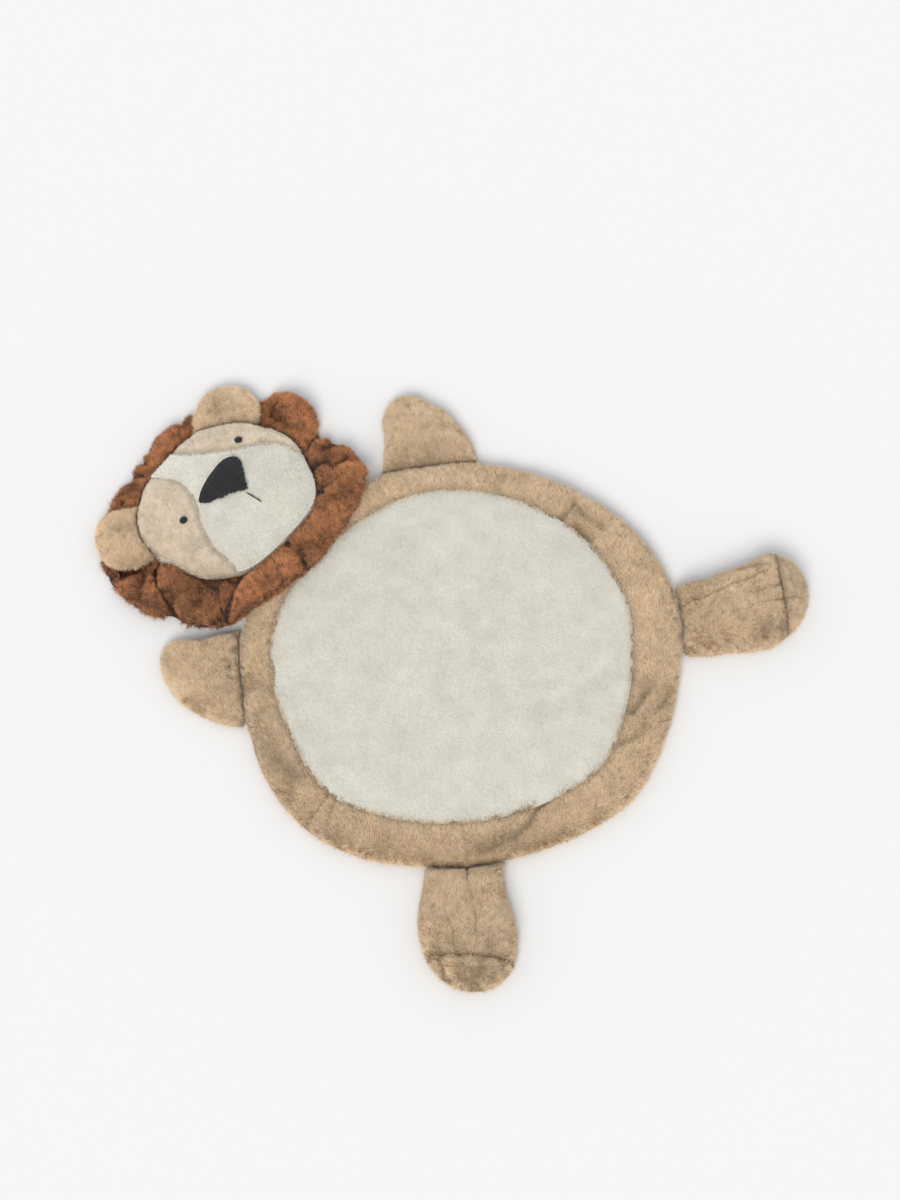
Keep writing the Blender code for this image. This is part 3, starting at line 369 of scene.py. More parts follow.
# A pale line along the nose's straight edge, laid as a thin raised strand
EDGING_THICKNESS = 1.1 * MM
EDGING_OFFSET = 0.6 * MM
EDGING_SUNK = 0.4 * MM
EDGING_EVENING = 6
EDGING_ENDS = 4


def linear(colour):
    """A linear colour from sRGB numbers from 0 to 255."""
    parts = []
    for number in colour:
        part = number / 255
        parts.append(part / 12.92 if part <= 0.04045 else ((part + 0.055) / 1.055) ** 2.4)
    return (*parts, 1.0)


def soft_noise(points, size, seed):
    """Smooth noise from -1 to 1, with features about as wide as size in metres."""
    table = np.random.default_rng(seed).uniform(-1, 1, (LATTICE,) * 3)
    places = points / size
    cell = np.floor(places).astype(int)
    part = places - cell
    ease = part * part * (3 - 2 * part)
    total = np.zeros(len(points))
    for corner in np.ndindex(2, 2, 2):
        weight = np.ones(len(points))
        for axis in range(3):
            weight *= ease[:, axis] if corner[axis] else 1 - ease[:, axis]
        index = (cell + corner) % LATTICE
        total += weight * table[index[:, 0], index[:, 1], index[:, 2]]
    return total


def noise_vectors(points, size, seed):
    return np.column_stack([soft_noise(points, size, seed + axis) for axis in range(3)])


def unit(vectors):
    return vectors / np.maximum(np.linalg.norm(vectors, axis=1), 1e-9)[:, None]


def welded(node):
    """The node's mesh as a new mesh whose split corners are joined again."""
    bm = bmesh.new()
    bm.from_mesh(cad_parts[node].data)
    bmesh.ops.remove_doubles(bm, verts=bm.verts, dist=1e-5)
    mesh = bpy.data.meshes.new(node)
    bm.to_mesh(mesh)
    bm.free()
    return mesh


def tree_of(names):
    """Several nodes' solids as one searchable surface."""
    corners = []
    triangles = []
    for name in names:
        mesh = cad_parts[name].data
        mesh.calc_loop_triangles()
        first = len(corners)
        corners += [v.co.copy() for v in mesh.vertices]
        triangles += [tuple(first + i for i in t.vertices) for t in mesh.loop_triangles]
    return BVHTree.FromPolygons(corners, triangles)


def read(mesh, data, key, width):
    values = np.empty(len(data) * width, np.float32)
    data.foreach_get(key, values)
    return values.reshape(-1, width).astype(float)


def points_of(mesh):
    return read(mesh, mesh.vertices, "co", 3)


def normals_of(mesh):
    return read(mesh, mesh.vertex_normals, "vector", 3)


def move_points(mesh, points):
    mesh.vertices.foreach_set("co", points.astype(np.float32).ravel())
    mesh.update()


def even_mesh(node, voxel, smoothing):
    """The node's solid as an even mesh of small quads."""
    source = welded(node)
    piece = bpy.data.objects.new(node + "_source", source)
    bpy.context.collection.objects.link(piece)
    remesh = piece.modifiers.new("even", "REMESH")
    remesh.mode = "VOXEL"
    remesh.voxel_size = voxel
    smooth = piece.modifiers.new("soft", "SMOOTH")
    smooth.factor = 0.5
    smooth.iterations = smoothing
    graph = bpy.context.evaluated_depsgraph_get()
    mesh = bpy.data.meshes.new_from_object(piece.evaluated_get(graph))
    bpy.data.objects.remove(piece)
    bpy.data.meshes.remove(source)
    return mesh


def edges_of(mesh):
    edges = np.empty(len(mesh.edges) * 2, np.int32)
    mesh.edges.foreach_get("vertices", edges)
    return edges.reshape(-1, 2)


def neighbours_evened(mesh, values, times):
    """Values at the vertices, evened out with those of the vertices next to them."""
    edges = edges_of(mesh)
    count = np.bincount(edges.ravel(), minlength=len(values))
    for _ in range(times):
        total = np.bincount(edges[:, 0], values[edges[:, 1]], len(values))
        total += np.bincount(edges[:, 1], values[edges[:, 0]], len(values))
        values = 0.5 * values + 0.5 * total / np.maximum(count, 1)
    return values


def room_outside(points, normals, others):
    """How far each point may rise along its normal before it meets another piece, up to the hidden reach."""
    start = points + normals * CLEAR
    room = np.full(len(points), HIDDEN_REACH)
    for index, (point, normal) in enumerate(zip(start, normals)):
        hit = others.ray_cast(Vector(point), Vector(normal), HIDDEN_REACH)
        if hit[0] is not None:
            room[index] = hit[3]
    return room


def nearest_on(points, surface):
    """The distance from each point to a surface, and the place there that is nearest to it."""
    away = np.full(len(points), SEAM_SEARCH)
    places = points.copy()
    for index, point in enumerate(points):
        found = surface.find_nearest(Vector(point), SEAM_SEARCH)
        if found[0] is not None:
            away[index] = found[3]
            places[index] = found[0]
    return away, places


def seam_partners(node):
    return [b if a == node else a for a, b in SEWN if node in (a, b)]


def share_shown(room):
    """How much of the pile shows at each point, from none where a piece is hidden to all."""
    return np.clip((room / HIDDEN_REACH - 0.5) * 2, 0, 1)


def line_distance(plan, line):
    """The distance from each point of a plan to a line through several places."""
    away = np.full(len(plan), 1.0)
    for start, end in zip(line, line[1:]):
        run = end - start
        along = np.clip((plan - start) @ run / (run @ run), 0, 1)
        away = np.minimum(away, np.linalg.norm(plan - start - along[:, None] * run, axis=1))
    return away


def folded(node, points):
    """How deep the listed folds press each point, less where a ridge lifts it, in metres."""
    strength, size, seed = FOLD_WOBBLE
    wobble = noise_vectors(points, size, seed)[:, :2] * strength * MM
    strength, size, seed = FOLD_UNEVEN
    uneven = 1 + strength * soft_noise(points, size, seed)
    deepest = np.zeros(len(points))
    highest = np.zeros(len(points))
    for name, deep, wide, line in FOLDS:
        if name != node:
            continue
        near = line_distance(points[:, :2] + wobble, np.array(line) * MM)
        press = deep * MM * np.exp(-((near / (wide * MM)) ** 2)) * uneven
        deepest = np.maximum(deepest, press)
        highest = np.minimum(highest, press)
    return deepest + highest


def patch_tone_and_shade(node, points):
    """The change of tone at each point from the lighter and darker places, partly the cloth's own tone,
    partly painted shade and painted light.
    """
    change = np.zeros(len(points))
    for name, x, y, radius, amount in TONE_AND_SHADE_PATCHES:
        if name == node:
            away = np.hypot(points[:, 0] - x * MM, points[:, 1] - y * MM)
            change += amount * np.exp(-((away / (radius * MM)) ** 2))
    return change


def filled_out(mesh, held, slack, pressure):
    """Fills the cloth from inside, with some vertices held, and gives where its points come to rest."""
    start = points_of(mesh)
    piece = bpy.data.objects.new("filling", mesh.copy())
    bpy.context.collection.objects.link(piece)
    group = piece.vertex_groups.new(name="held")
    group.add([int(index) for index in np.nonzero(held)[0]], 1.0, "REPLACE")
    modifier = piece.modifiers.new("cloth", "CLOTH")
    settings = modifier.settings
    settings.quality = 4
    settings.mass = 0.3
    settings.tension_stiffness = 12
    settings.compression_stiffness = 12
    settings.shear_stiffness = 6
    settings.bending_stiffness = 0.6
    settings.shrink_min = -slack
    settings.use_pressure = True
    settings.uniform_pressure_force = pressure
    settings.vertex_group_mass = "held"
    settings.effector_weights.gravity = 0
    modifier.point_cache.frame_start = 1
    modifier.point_cache.frame_end = CLOTH_FRAMES
    for number in range(1, CLOTH_FRAMES + 1):
        bpy.context.scene.frame_set(number)
    graph = bpy.context.evaluated_depsgraph_get()
    settled = bpy.data.meshes.new_from_object(piece.evaluated_get(graph))
    moved = points_of(settled) - start
    bpy.data.objects.remove(piece)
    bpy.data.meshes.remove(settled)
    bpy.context.scene.frame_set(1)
    moved = np.nan_to_num(moved)
    length = np.linalg.norm(moved, axis=1)
    moved *= (CLOTH_CAP * np.tanh(length / CLOTH_CAP) / np.maximum(length, 1e-9))[:, None]
    for axis in range(3):
        moved[:, axis] = neighbours_evened(mesh, moved[:, axis], CLOTH_EVENING)
    return start + moved


def tufts(node, mesh, cloth, count, heading, cover, seam, fold, seed):
    """The pile of one piece: a mesh of tapered blades that stand on a skin.

    cover is the share of pile at each vertex, seam its distance to the nearest seam, and fold its depth in
    a fold.
    """
    length, _, width, lean, spread, clumping, contrast, brushing = PILE[cloth]
    rng = np.random.default_rng(seed)
    points = points_of(mesh)
    normals = normals_of(mesh)
    mesh.calc_loop_triangles()
    corners = np.empty(len(mesh.loop_triangles) * 3, np.int32)
    mesh.loop_triangles.foreach_get("vertices", corners)
    corners = corners.reshape(-1, 3)
    sides = points[corners]
    area = 0.5 * np.linalg.norm(np.cross(sides[:, 1] - sides[:, 0], sides[:, 2] - sides[:, 0]), axis=1)
    weight = area * cover[corners].mean(axis=1)
    run = np.cumsum(weight)
    picks = (np.arange(count) + rng.random(count)) / count * run[-1]
    chosen = corners[np.minimum(np.searchsorted(run, picks), len(corners) - 1)]
    u, v = rng.random((2, count))
    flip = u + v > 1
    u = np.where(flip, 1 - u, u)
    v = np.where(flip, 1 - v, v)
    shares = np.column_stack((1 - u - v, u, v))[:, :, None]
    root = (points[chosen] * shares).sum(axis=1)
    normal = unit((normals[chosen] * shares).sum(axis=1))
    near_seam = (seam[chosen] * shares[:, :, 0]).sum(axis=1)
    closeness = np.exp(-((near_seam / SEAM_WIDTH) ** 2))
    creased = folded(node, root)
    missed = np.clip(creased - (fold[chosen] * shares[:, :, 0]).sum(axis=1), *FOLD_MISSED)
    root = root - normal * missed[:, None]
    valley = np.clip(creased / FOLD_FULL, 0, 1)

    turn = math.radians(heading)
    nap = np.array((math.cos(turn), math.sin(turn), NAP_DIP))
    wide_noise = soft_noise(root, BRUSH_SIZES[0], seed + 60)
    wide_noise = wide_noise + BRUSH_SECOND * soft_noise(root, BRUSH_SIZES[1], seed + 61)
    brushed = brushing * np.clip((wide_noise - BRUSH_START) / BRUSH_RANGE, 0, 1)
    flow = nap * (1 - BRUSH_TURN * brushed)[:, None]
    flow = flow + WIDE_FLOW[0] * spread * noise_vectors(root, WIDE_FLOW[1], seed + 10)
    flow += NEAR_FLOW[0] * spread * noise_vectors(root, NEAR_FLOW[1], seed + 20)
    flow += clumping * noise_vectors(root, CLUMP_FLOW[1], seed + 30) * CLUMP_FLOW[0]
    flow += STRAY_FLOW * rng.normal(size=(count, 3))
    flow -= normal * (flow * normal).sum(axis=1)[:, None]
    flow = unit(flow)
    drift = LEAN_DRIFT[0] * soft_noise(root, LEAN_DRIFT[1], seed + 40)
    angle = np.radians(lean + LEAN_STRAY * rng.normal(size=count) + drift)
    angle = np.clip(angle, *LEAN_LIMITS)
    way = normal * np.cos(angle)[:, None] + flow * np.sin(angle)[:, None]
    long = length * MM * (1 + LENGTH_STRAY * rng.normal(size=count)) * (1 - SEAM_SHORTENING * closeness)
    long *= 1 - FOLD_SHORTENING * valley
    long = np.clip(long, LENGTH_LIMITS[0] * length * MM, LENGTH_LIMITS[1] * length * MM)
    across = unit(np.cross(way, normal))
    twist = rng.uniform(-BLADE_TURN, BLADE_TURN, count)
    side = across * np.cos(twist)[:, None] + np.cross(way, across) * np.sin(twist)[:, None]
    half = 0.5 * width * MM * rng.uniform(*BLADE_WIDTHS, count)[:, None]
    low = root - normal * ROOT_DEPTH
    tip = low + way * long[:, None]
    tip[:, 2] = np.maximum(tip[:, 2], LOWEST_TIP)
    left = low - side * half
    right = low + side * half
    left[:, 2] = np.maximum(left[:, 2], LOWEST_ROOT)
    right[:, 2] = np.maximum(right[:, 2], LOWEST_ROOT)
    facing = np.cross(right - left, tip - left)
    turned = (facing * normal).sum(axis=1) < 0
    left[turned], right[turned] = right[turned].copy(), left[turned].copy()

    blades = np.stack((left, right, tip), axis=1).reshape(-1, 3)
    made = bpy.data.meshes.new(node + "_pile")
    made.vertices.add(3 * count)
    made.vertices.foreach_set("co", blades.astype(np.float32).ravel())
    made.loops.add(3 * count)
    made.loops.foreach_set("vertex_index", np.arange(3 * count, dtype=np.int32))
    made.polygons.add(count)
    made.polygons.foreach_set("loop_start", np.arange(0, 3 * count, 3, dtype=np.int32))
    made.update(calc_edges=True)

    # Each tuft's tint: its own random tone and the lighter and darker places, then painted shade at seams, in
    # folds and on slopes
    patch = sum(share * soft_noise(root, size, seed + step) for share, size, step in TONE_NOISES)
    slope = 1 - np.maximum(normal[:, 2], 0)
    shade = 1 + contrast * (patch + TONE_STRAY * rng.normal(size=count)) + patch_tone_and_shade(node, root)
    shade -= SEAM_SHADE * closeness + FOLD_SHADE * valley + FORM_SHADE[cloth] * slope
    # Gold: the tuft's own warmer tone at random and where the pile is brushed, plus painted shade that turns
    # it warmer and darker in folds
    gold = GOLD_BASE + GOLD_BRUSHED * brushed + GOLD_DRIFT[0] * soft_noise(root, GOLD_DRIFT[1], seed + 54)
    gold = np.clip(gold + GOLD_IN_VALLEY_SHADE * valley, 0, 1)
    set_values(made, "height", np.tile((0.0, 0.0, 1.0), count))
    set_values(made, "tint", np.repeat(np.maximum(shade, DARKEST), 3))
    set_values(made, "gold", np.repeat(gold, 3))
    uv = made.uv_layers.new(name="OFBake")
    places = root[:, None, :2] + 0.5 + np.array(MAP_CELL)[None]
    uv.data.foreach_set("uv", places.reshape(-1).astype(np.float32))
    piece = bpy.data.objects.new(node + "_pile", made)
    bpy.context.collection.objects.link(piece)
    return piece


def set_values(mesh, name, values):
    """A number at each of a mesh's points, for its material."""
    attribute = mesh.attributes.new(name, "FLOAT", "POINT")
    attribute.data.foreach_set("value", np.asarray(values, np.float32))


def new_material(name, roughness, specular):
    material = bpy.data.materials.new(name)
    material.use_nodes = True
    shader = material.node_tree.nodes["Principled BSDF"]
    shader.inputs["Roughness"].default_value = roughness
    shader.inputs["Specular IOR Level"].default_value = specular
    return material, material.node_tree.nodes, material.node_tree.links, shader


def attribute_node(nodes, name):
    node = nodes.new("ShaderNodeAttribute")
    node.attribute_name = name
    return node


def mottling(nodes, links, scale, low, high):
    """Soft uneven brightness over the piece, between two shares."""
    place = nodes.new("ShaderNodeTexCoord")
    mottle = nodes.new("ShaderNodeTexNoise")
    mottle.inputs["Scale"].default_value = scale
    mottle.inputs["Detail"].default_value = 4
    links.new(place.outputs["Object"], mottle.inputs["Vector"])
    limits = nodes.new("ShaderNodeMapRange")
    limits.inputs["From Min"].default_value = 0.3
    limits.inputs["From Max"].default_value = 0.7
    limits.inputs["To Min"].default_value = low
    limits.inputs["To Max"].default_value = high
    links.new(mottle.outputs["Fac"], limits.inputs["Value"])
    return place, limits


def plush_material(name, colours, pile):
    """Pile or the cloth under it: darker at the roots, partly as painted shade deep in the pile, lighter at
    the tips, and mottled as the pile lies; its tint also carries painted shade.
    """
    material, nodes, links, shader = new_material(name, 0.9, 0.15)
    shader.inputs["Sheen Weight"].default_value = 0.25
    shader.inputs["Sheen Roughness"].default_value = 0.5
    place, limits = mottling(nodes, links, 38, 0.95, 1.05)
    tips, roots = colours
    scaled = nodes.new("ShaderNodeVectorMath")
    scaled.operation = "SCALE"
    if not pile:
        scaled.inputs[0].default_value = linear(roots)[:3]
        toning = nodes.new("ShaderNodeMath")
        toning.operation = "MULTIPLY"
        links.new(attribute_node(nodes, "tint").outputs["Fac"], toning.inputs[0])
        links.new(limits.outputs["Result"], toning.inputs[1])
        links.new(toning.outputs["Value"], scaled.inputs["Scale"])
        links.new(scaled.outputs["Vector"], shader.inputs["Base Color"])
        knit = nodes.new("ShaderNodeTexNoise")
        knit.inputs["Scale"].default_value = 900
        links.new(place.outputs["Object"], knit.inputs["Vector"])
        bump = nodes.new("ShaderNodeBump")
        bump.inputs["Distance"].default_value = 0.0006
        bump.inputs["Strength"].default_value = 0.5
        links.new(knit.outputs["Fac"], bump.inputs["Height"])
        links.new(bump.outputs["Normal"], shader.inputs["Normal"])
        return material
    ramp = nodes.new("ShaderNodeValToRGB")
    ramp.color_ramp.elements[0].position = 0.0
    ramp.color_ramp.elements[0].color = linear(roots)
    ramp.color_ramp.elements[1].position = 0.75
    ramp.color_ramp.elements[1].color = linear(tips)
    links.new(attribute_node(nodes, "height").outputs["Fac"], ramp.inputs["Fac"])
    both = nodes.new("ShaderNodeMath")
    both.operation = "MULTIPLY"
    links.new(attribute_node(nodes, "tint").outputs["Fac"], both.inputs[0])
    links.new(limits.outputs["Result"], both.inputs[1])
    links.new(ramp.outputs["Color"], scaled.inputs[0])
    links.new(both.outputs["Value"], scaled.inputs["Scale"])
    warmer = nodes.new("ShaderNodeVectorMath")
    warmer.operation = "MULTIPLY"
    warmer.inputs[1].default_value = WARM
    links.new(scaled.outputs["Vector"], warmer.inputs[0])
    mix = nodes.new("ShaderNodeMix")
    mix.data_type = "RGBA"
    links.new(attribute_node(nodes, "gold").outputs["Fac"], mix.inputs["Factor"])
    links.new(scaled.outputs["Vector"], mix.inputs["A"])
    links.new(warmer.outputs["Vector"], mix.inputs["B"])
    links.new(mix.outputs["Result"], shader.inputs["Base Color"])
    return material


def thread_material(name, colour, roughness):
    """Embroidery thread: a dull shine and a little unevenness from stitch to stitch."""
    material, nodes, links, shader = new_material(name, roughness, 0.35)
    shader.inputs["Sheen Weight"].default_value = 0.15
    _, limits = mottling(nodes, links, 260, 0.72, 1.35)
    both = nodes.new("ShaderNodeMath")
    both.operation = "MULTIPLY"
    links.new(attribute_node(nodes, "tint").outputs["Fac"], both.inputs[0])
    links.new(limits.outputs["Result"], both.inputs[1])
    scaled = nodes.new("ShaderNodeVectorMath")
    scaled.operation = "SCALE"
    scaled.inputs[0].default_value = linear(colour)[:3]
    links.new(both.outputs["Value"], scaled.inputs["Scale"])
    links.new(scaled.outputs["Vector"], shader.inputs["Base Color"])
    return material


def make_materials():
    made = {}
    for cloth, colours in (("beige", BEIGE), ("pale", PALE_BEIGE), ("cream", CREAM), ("brown", BROWN)):
        skin = plush_material(cloth + "_cloth", colours, False)
        pile = plush_material(cloth + "_pile", colours, True)
        made[cloth] = (skin, pile)
    made["thread"] = thread_material("black_thread", BLACK, 0.55)
    made["edging"] = thread_material("pale_edge_line", EDGING, 0.7)
    return made


def show(name, mesh, material):
    """A new piece in the scene, riding on the mat."""
    piece = bpy.data.objects.new(name, mesh)
    bpy.context.collection.objects.link(piece)
    mesh.materials.clear()
    mesh.materials.append(material)
    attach(piece, "root")
    return piece


def show_pile(pile, material):
    pile.data.materials.append(material)
    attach(pile, "root")


def waves(points, rows, seed):
    """Soft waves of the cloth: a wide one and a narrow one, each with its depth and size."""
    (wide_depth, wide_size), (depth, size) = rows
    return wide_depth * soft_noise(points, wide_size, seed) + depth * soft_noise(points, size, seed + 1)


def add_filled(row, seed):
    """A filled piece: its skin and its pile."""
    node, cloth, slot, voxel, smoothing, count, heading, fill, slack, pressure = row
    mesh = even_mesh(node, voxel * MM, smoothing)
    points = points_of(mesh)
    normals = normals_of(mesh)
    others = tree_of([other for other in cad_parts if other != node])
    room = room_outside(points, normals, others)
    cover = share_shown(room)
    cover = neighbours_evened(mesh, cover, COVER_EVENING)
    down = np.clip((-normals[:, 2] - UNDERSIDE_START) / UNDERSIDE_RANGE, 0, 1)
    down = down * (points[:, 2] < UNDERSIDE_HEIGHT)
    shown = cover * (1 - down)
    seam, beside = nearest_on(points, tree_of(seam_partners(node)))
    closeness = np.exp(-((seam / SEAM_WIDTH) ** 2))
    upright = np.column_stack((1 - closeness, 1 - closeness, np.ones(len(points))))
    depth = PILE[cloth][1] * MM
    inset = (HIDDEN_INSET + (depth - HIDDEN_INSET) * cover) * (1 - down)
    skin_points = points - normals * (inset + CLOTH_ROOM * shown * (1 - closeness))[:, None] * upright
    skin_points[:, 2] = np.maximum(skin_points[:, 2], LOWEST_SKIN)
    move_points(mesh, skin_points)
    held = (shown < HELD_COVER) | (seam < HELD_SEAM) | (skin_points[:, 2] < HELD_HEIGHT)
    rested = filled_out(mesh, held, slack, pressure)
    out = ((rested - points) * normals).sum(axis=1)
    too_far = np.maximum(out + inset * SKIN_ROOM, 0)
    rested = rested - normals * too_far[:, None]
    fold = folded(node, rested)
    gather = soft_noise(beside, GATHER_STEP, seed + 5) * np.exp(-((seam / GATHER_LENGTH) ** 2))
    press = SEAM_SINK * closeness + GATHER_DEPTH * (0.5 + gather) * np.clip(seam / GATHER_START, 0, 1)
    press -= waves(points, SKIN_WAVES, seed)
    press += fold
    rested = rested - normals * (press * shown)[:, None] * upright
    if node in AT_THE_RIM:
        to_body, _ = nearest_on(points, tree_of(["body"]))
        rested[:, :2] += normals[:, :2] * (RIM_REACH * np.exp(-((to_body / RIM_WIDTH) ** 2)))[:, None]
    rested[:, 2] = np.maximum(rested[:, 2], LOWEST_SKIN)
    move_points(mesh, rested)
    mesh.shade_smooth()
    # The cloth under the pile takes painted shade near seams and in folds
    set_values(mesh, "tint", 1 - SKIN_SHADE * np.maximum(closeness, np.clip(fold / FOLD_FULL, 0, 1)))
    skin, pile_finish = MATERIALS[cloth]
    piece = show(node + "_skin", mesh, skin)
    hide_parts(node)
    pile = tufts(node, mesh, cloth, count, heading, shown, seam, fold * shown, seed)
    show_pile(pile, pile_finish)


def height_over(surface, x, y):
    hit = surface.ray_cast(Vector((x, y, 1.0)), Vector((0, 0, -1)))[0]
    return None if hit is None else hit.z


def reach_of(surface, centre, turn, limit):
    """How far a surface reaches from a centre along a heading, in plan."""
    ahead = (math.cos(turn), math.sin(turn))
    inside = 0.0
    steps = 60
    for step in range(1, steps + 1):
        out = limit * step / steps
        if height_over(surface, centre[0] + ahead[0] * out, centre[1] + ahead[1] * out) is not None:
            inside = out
    outside = inside + limit / steps
    for _ in range(10):
        middle = (inside + outside) / 2
        if height_over(surface, centre[0] + ahead[0] * middle, centre[1] + ahead[1] * middle) is None:
            outside = middle
        else:
            inside = middle
    return inside


def add_sheet(row, seed):
    """A sheet of cloth laid in its bed: its skin and its pile."""
    node, cloth, slot, rings, spokes, count, heading, bed = row
    low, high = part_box(node)
    centre = ((low.x + high.x) / 2, (low.y + high.y) / 2)
    surface = tree_of([node])
    depth = PILE[cloth][1] * MM
    turns = np.arange(spokes) * 2 * math.pi / spokes
    limit = max(high.x - low.x, high.y - low.y) * 0.75
    reach = np.array([reach_of(surface, centre, turn, limit) for turn in turns]) - SHEET_GAP
    corners = [Vector((centre[0], centre[1], height_over(surface, *centre)))]
    for ring in range(1, rings + 1):
        share = ring / rings
        for turn, out in zip(turns, reach):
            x = centre[0] + math.cos(turn) * out * share
            y = centre[1] + math.sin(turn) * out * share
            found = height_over(surface, x, y)
            corners.append(Vector((x, y, found if found is not None else corners[-1].z)))
    faces = []
    for spoke in range(spokes):
        faces.append((0, 1 + spoke, 1 + (spoke + 1) % spokes))
    for ring in range(rings - 1):
        for spoke in range(spokes):
            a = 1 + ring * spokes + spoke
            b = 1 + ring * spokes + (spoke + 1) % spokes
            faces.append((a, a + spokes, b + spokes, b))
    mesh = bpy.data.meshes.new(node + "_skin")
    mesh.from_pydata(corners, [], faces)
    mesh.update()
    points = points_of(mesh)
    seam, beside = nearest_on(points, tree_of(seam_partners(node)))
    closeness = np.exp(-((seam / SEAM_WIDTH) ** 2))
    points[:, 2] = neighbours_evened(mesh, points[:, 2], SHEET_EVENING)
    fold = folded(node, points)
    gather = soft_noise(beside, SHEET_GATHER_STEP, seed + 5) * np.exp(-((seam / GATHER_LENGTH) ** 2))
    points[:, 2] -= depth + SEAM_SINK * closeness + fold + 0.5 * GATHER_DEPTH * gather
    points[:, 2] += waves(points, SHEET_WAVES, seed)
    floor = tree_of([bed])
    for index, (x, y, z) in enumerate(points):
        under = height_over(floor, x, y)
        if under is not None:
            points[index, 2] = max(z, under + SHEET_LIFT)
    move_points(mesh, points)
    mesh.shade_smooth()
    # The sheet takes painted shade near its seams
    set_values(mesh, "tint", 1 - 0.5 * SKIN_SHADE * closeness)
    skin, pile_finish = MATERIALS[cloth]
    piece = show(node + "_skin", mesh, skin)
    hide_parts(node)
    others = tree_of([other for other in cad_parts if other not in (node, bed)])
    room = room_outside(points, normals_of(mesh), others)
    cover = share_shown(room)
    pile = tufts(node, mesh, cloth, count, heading, cover, seam, fold, seed)
    show_pile(pile, pile_finish)


def strand(places, heights, widths, rise, shade):
    """The vertices, faces and tones of one raised stitch along a row of places in plan."""
    run = np.gradient(places, axis=0)
    run /= np.maximum(np.linalg.norm(run, axis=1), 1e-9)[:, None]
    across = np.column_stack((-run[:, 1], run[:, 0]))
    profile = ((-0.5, 0.0), (-0.3, 0.75), (0.0, 1.0), (0.3, 0.75), (0.5, 0.0))
    corners = []
    for place, height, side, width, lift in zip(places, heights, across, widths, rise):
        for out, up in profile:
            corners.append((*(place + side * out * width), height + up * lift))
    faces = []
    row = len(profile)
    for step in range(len(places) - 1):
        for index in range(row - 1):
            a = step * row + index
            faces.append((a, a + 1, a + row + 1, a + row))
    return corners, faces, [shade] * len(corners)


def joined(name, strands, material):
    """Several stitches as one piece."""
    corners = []
    faces = []
    shades = []
    for some_corners, some_faces, some_shades in strands:
        first = len(corners)
        corners += some_corners
        faces += [tuple(first + index for index in face) for face in some_faces]
        shades += some_shades
    mesh = bpy.data.meshes.new(name)
    mesh.from_pydata(corners, [], faces)
    mesh.update()
    mesh.shade_smooth()
    set_values(mesh, "tint", shades)
    uv = mesh.uv_layers.new(name="OFBake")
    index = np.empty(len(mesh.loops), np.int32)
    mesh.loops.foreach_get("vertex_index", index)
    uv.data.foreach_set("uv", (np.array(corners)[index, :2] + 0.5).astype(np.float32).ravel())
    return show(name, mesh, material)


def add_stitched(row, seed):
    """A patch of satin stitch that replaces its solid: threads side by side over a low crown."""
    node, pitch, rise, crown, ragged = row
    rng = np.random.default_rng(seed)
    surface = tree_of([node])
    low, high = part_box(node)
    middle_y = (low.y + high.y) / 2
    ys = np.arange(low.y - STITCH_SEARCH, high.y + STITCH_SEARCH, STITCH_SAMPLE)
    strands = []
    ends_high = []
    for x in np.arange(low.x + 0.3 * pitch * MM, high.x, pitch * MM):
        xs = x + STITCH_LEAN * (ys - middle_y)
        found = [height_over(surface, a, b) for a, b in zip(xs, ys)]
        inside = [index for index, height in enumerate(found) if height is not None]
        if len(inside) < STITCH_FEWEST:
            continue
        start, end = ys[inside[0]], ys[inside[-1]]
        start -= rng.uniform(*RAGGED_START) * ragged * MM
        end += rng.uniform(*RAGGED_END) * MM
        count = max(int((end - start) / STITCH_STEP), 5)
        along = np.linspace(start, end, count)
        xs_known = x + STITCH_LEAN * (along - middle_y)
        heights = np.interp(along, ys[inside], [found[index] for index in inside])
        from_edge = np.minimum(along - start, end - along)
        side_edge = min(x - low.x, high.x - x)
        dome = 1 - np.exp(-from_edge / (CROWN_END * min(1, crown / 2 + 0.2)))
        dome = dome * (1 - math.exp(-side_edge / CROWN_SIDE))
        heights = heights - STITCH_SUNK + crown * MM * dome * CROWN_SHARE
        heights[[0, -1]] -= STITCH_END_DROP
        wave = STITCH_WAVE * rng.normal(size=count)
        places = np.column_stack((xs_known + wave, along))
        widths = np.full(count, STITCH_OVERLAP * pitch * MM)
        lifts = np.full(count, rise * MM) * rng.uniform(*RISE_SPREAD, count)
        shade = float(rng.uniform(*SHADE_SPREAD))
        strands.append(strand(places, heights, widths, lifts, shade))
        ends_high.append((xs_known[-1], end, heights[-2]))
    piece = joined(node + "_stitches", strands, MATERIALS["thread"])
    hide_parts(node)
    return ends_high


def add_edging(ends):
    """A pale line along the nose's straight edge, laid as a thin raised strand."""
    places = np.array([(x, y + EDGING_OFFSET) for x, y, _ in ends])
    heights = np.array([z for _, _, z in ends])
    for _ in range(EDGING_EVENING):
        places[1:-1] = (places[:-2] + 2 * places[1:-1] + places[2:]) / 4
        heights[1:-1] = (heights[:-2] + 2 * heights[1:-1] + heights[2:]) / 4
    count = len(places)
    taper = np.clip(np.minimum(np.arange(count), np.arange(count)[::-1]) / EDGING_ENDS, 0.25, 1)
    lift = np.full(count, 0.6 * EDGING_THICKNESS) * taper
    edge = strand(places, heights - EDGING_SUNK, EDGING_THICKNESS * taper, lift, 1.0)
    joined("nose_edging", [edge], MATERIALS["edging"])


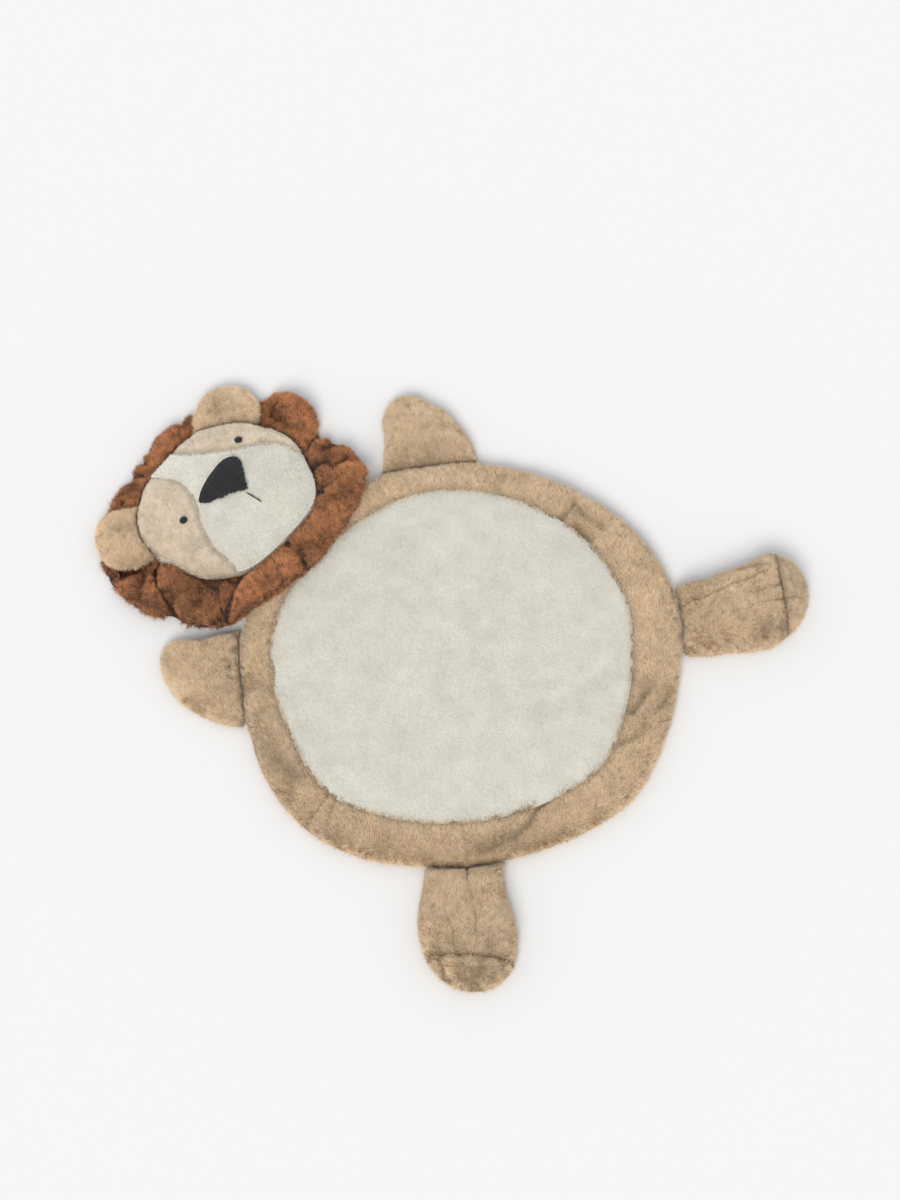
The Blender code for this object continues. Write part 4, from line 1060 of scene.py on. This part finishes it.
def add_mouth():
    """The mouth's short stitched line, in two strokes."""
    surface = tree_of(["muzzle_panel"])
    places = np.array(MOUTH) * MM
    share = np.linspace(0, 1, MOUTH_POINTS)
    known = np.linspace(0, 1, len(places))
    line = np.column_stack([np.interp(share, known, places[:, axis]) for axis in (0, 1)])
    heights = np.array([height_over(surface, x, y) for x, y in line]) - MOUTH_SUNK
    strands = []
    for first, last in MOUTH_STROKES:
        part = slice(first, last)
        count = last - first
        bow = np.sin(np.linspace(0, math.pi, count))
        width = MOUTH_THICKNESS * (0.55 + 0.45 * bow)
        lift = MOUTH_RISE * (0.4 + bow)
        strands.append(strand(line[part], heights[part] + MOUTH_BOW * bow, width, lift, MOUTH_TONE))
    joined("mouth_stitches", strands, MATERIALS["thread"])


def add_floor():
    bpy.ops.mesh.primitive_grid_add(x_subdivisions=2, y_subdivisions=2, size=FLOOR_SIZE)
    floor = bpy.context.object
    floor.name = "studio_floor"
    floor.location.z = -FLOOR_DROP
    material, _, _, shader = new_material("studio_floor", 0.9, 0.0)
    shader.inputs["Base Color"].default_value = linear(FLOOR)
    floor.data.materials.append(material)


def add_lights():
    world = bpy.data.worlds.new("studio")
    world.use_nodes = True
    background = world.node_tree.nodes["Background"]
    background.inputs["Color"].default_value = (*SKY_COLOUR, 1)
    background.inputs["Strength"].default_value = SKY_STRENGTH
    bpy.context.scene.world = world
    key = bpy.data.lights.new("key", "SUN")
    key.energy = KEY_STRENGTH
    key.color = KEY_COLOUR
    key.angle = math.radians(KEY_WIDTH)
    lamp = bpy.data.objects.new("key", key)
    lamp.rotation_mode = "QUATERNION"
    lamp.rotation_quaternion = Vector(KEY_HEADING).to_track_quat("-Z", "Y")
    bpy.context.collection.objects.link(lamp)


def add_camera():
    camera = bpy.data.cameras.new("camera")
    camera.lens = CAMERA_LENS
    camera.sensor_width = CAMERA_SENSOR
    camera.clip_start = 0.1
    camera.clip_end = 100
    holder = bpy.data.objects.new("camera", camera)
    heading = Vector(CAMERA_HEADING).normalized()
    holder.location = Vector(CAMERA_AIM) - heading * CAMERA_DISTANCE
    holder.rotation_mode = "QUATERNION"
    holder.rotation_quaternion = heading.to_track_quat("-Z", "Y")
    bpy.context.collection.objects.link(holder)
    bpy.context.scene.camera = holder


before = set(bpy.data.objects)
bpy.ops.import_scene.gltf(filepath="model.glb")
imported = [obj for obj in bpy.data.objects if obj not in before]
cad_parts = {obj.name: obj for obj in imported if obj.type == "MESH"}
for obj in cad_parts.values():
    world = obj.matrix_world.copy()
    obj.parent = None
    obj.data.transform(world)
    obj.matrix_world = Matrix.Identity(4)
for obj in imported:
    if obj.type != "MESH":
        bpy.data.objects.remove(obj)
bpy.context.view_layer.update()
add_camera()
add_lights()
add_floor()
bpy.context.scene.view_settings.view_transform = "Standard"
MATERIALS = make_materials()
for number, row in enumerate(FILLED):
    add_filled(row, 1000 + 100 * number)
for number, row in enumerate(SHEETS):
    add_sheet(row, 5000 + 100 * number)
for number, row in enumerate(STITCHED):
    ends = add_stitched(row, 7000 + 100 * number)
    if row[0] == "nose":
        add_edging(ends)
add_mouth()
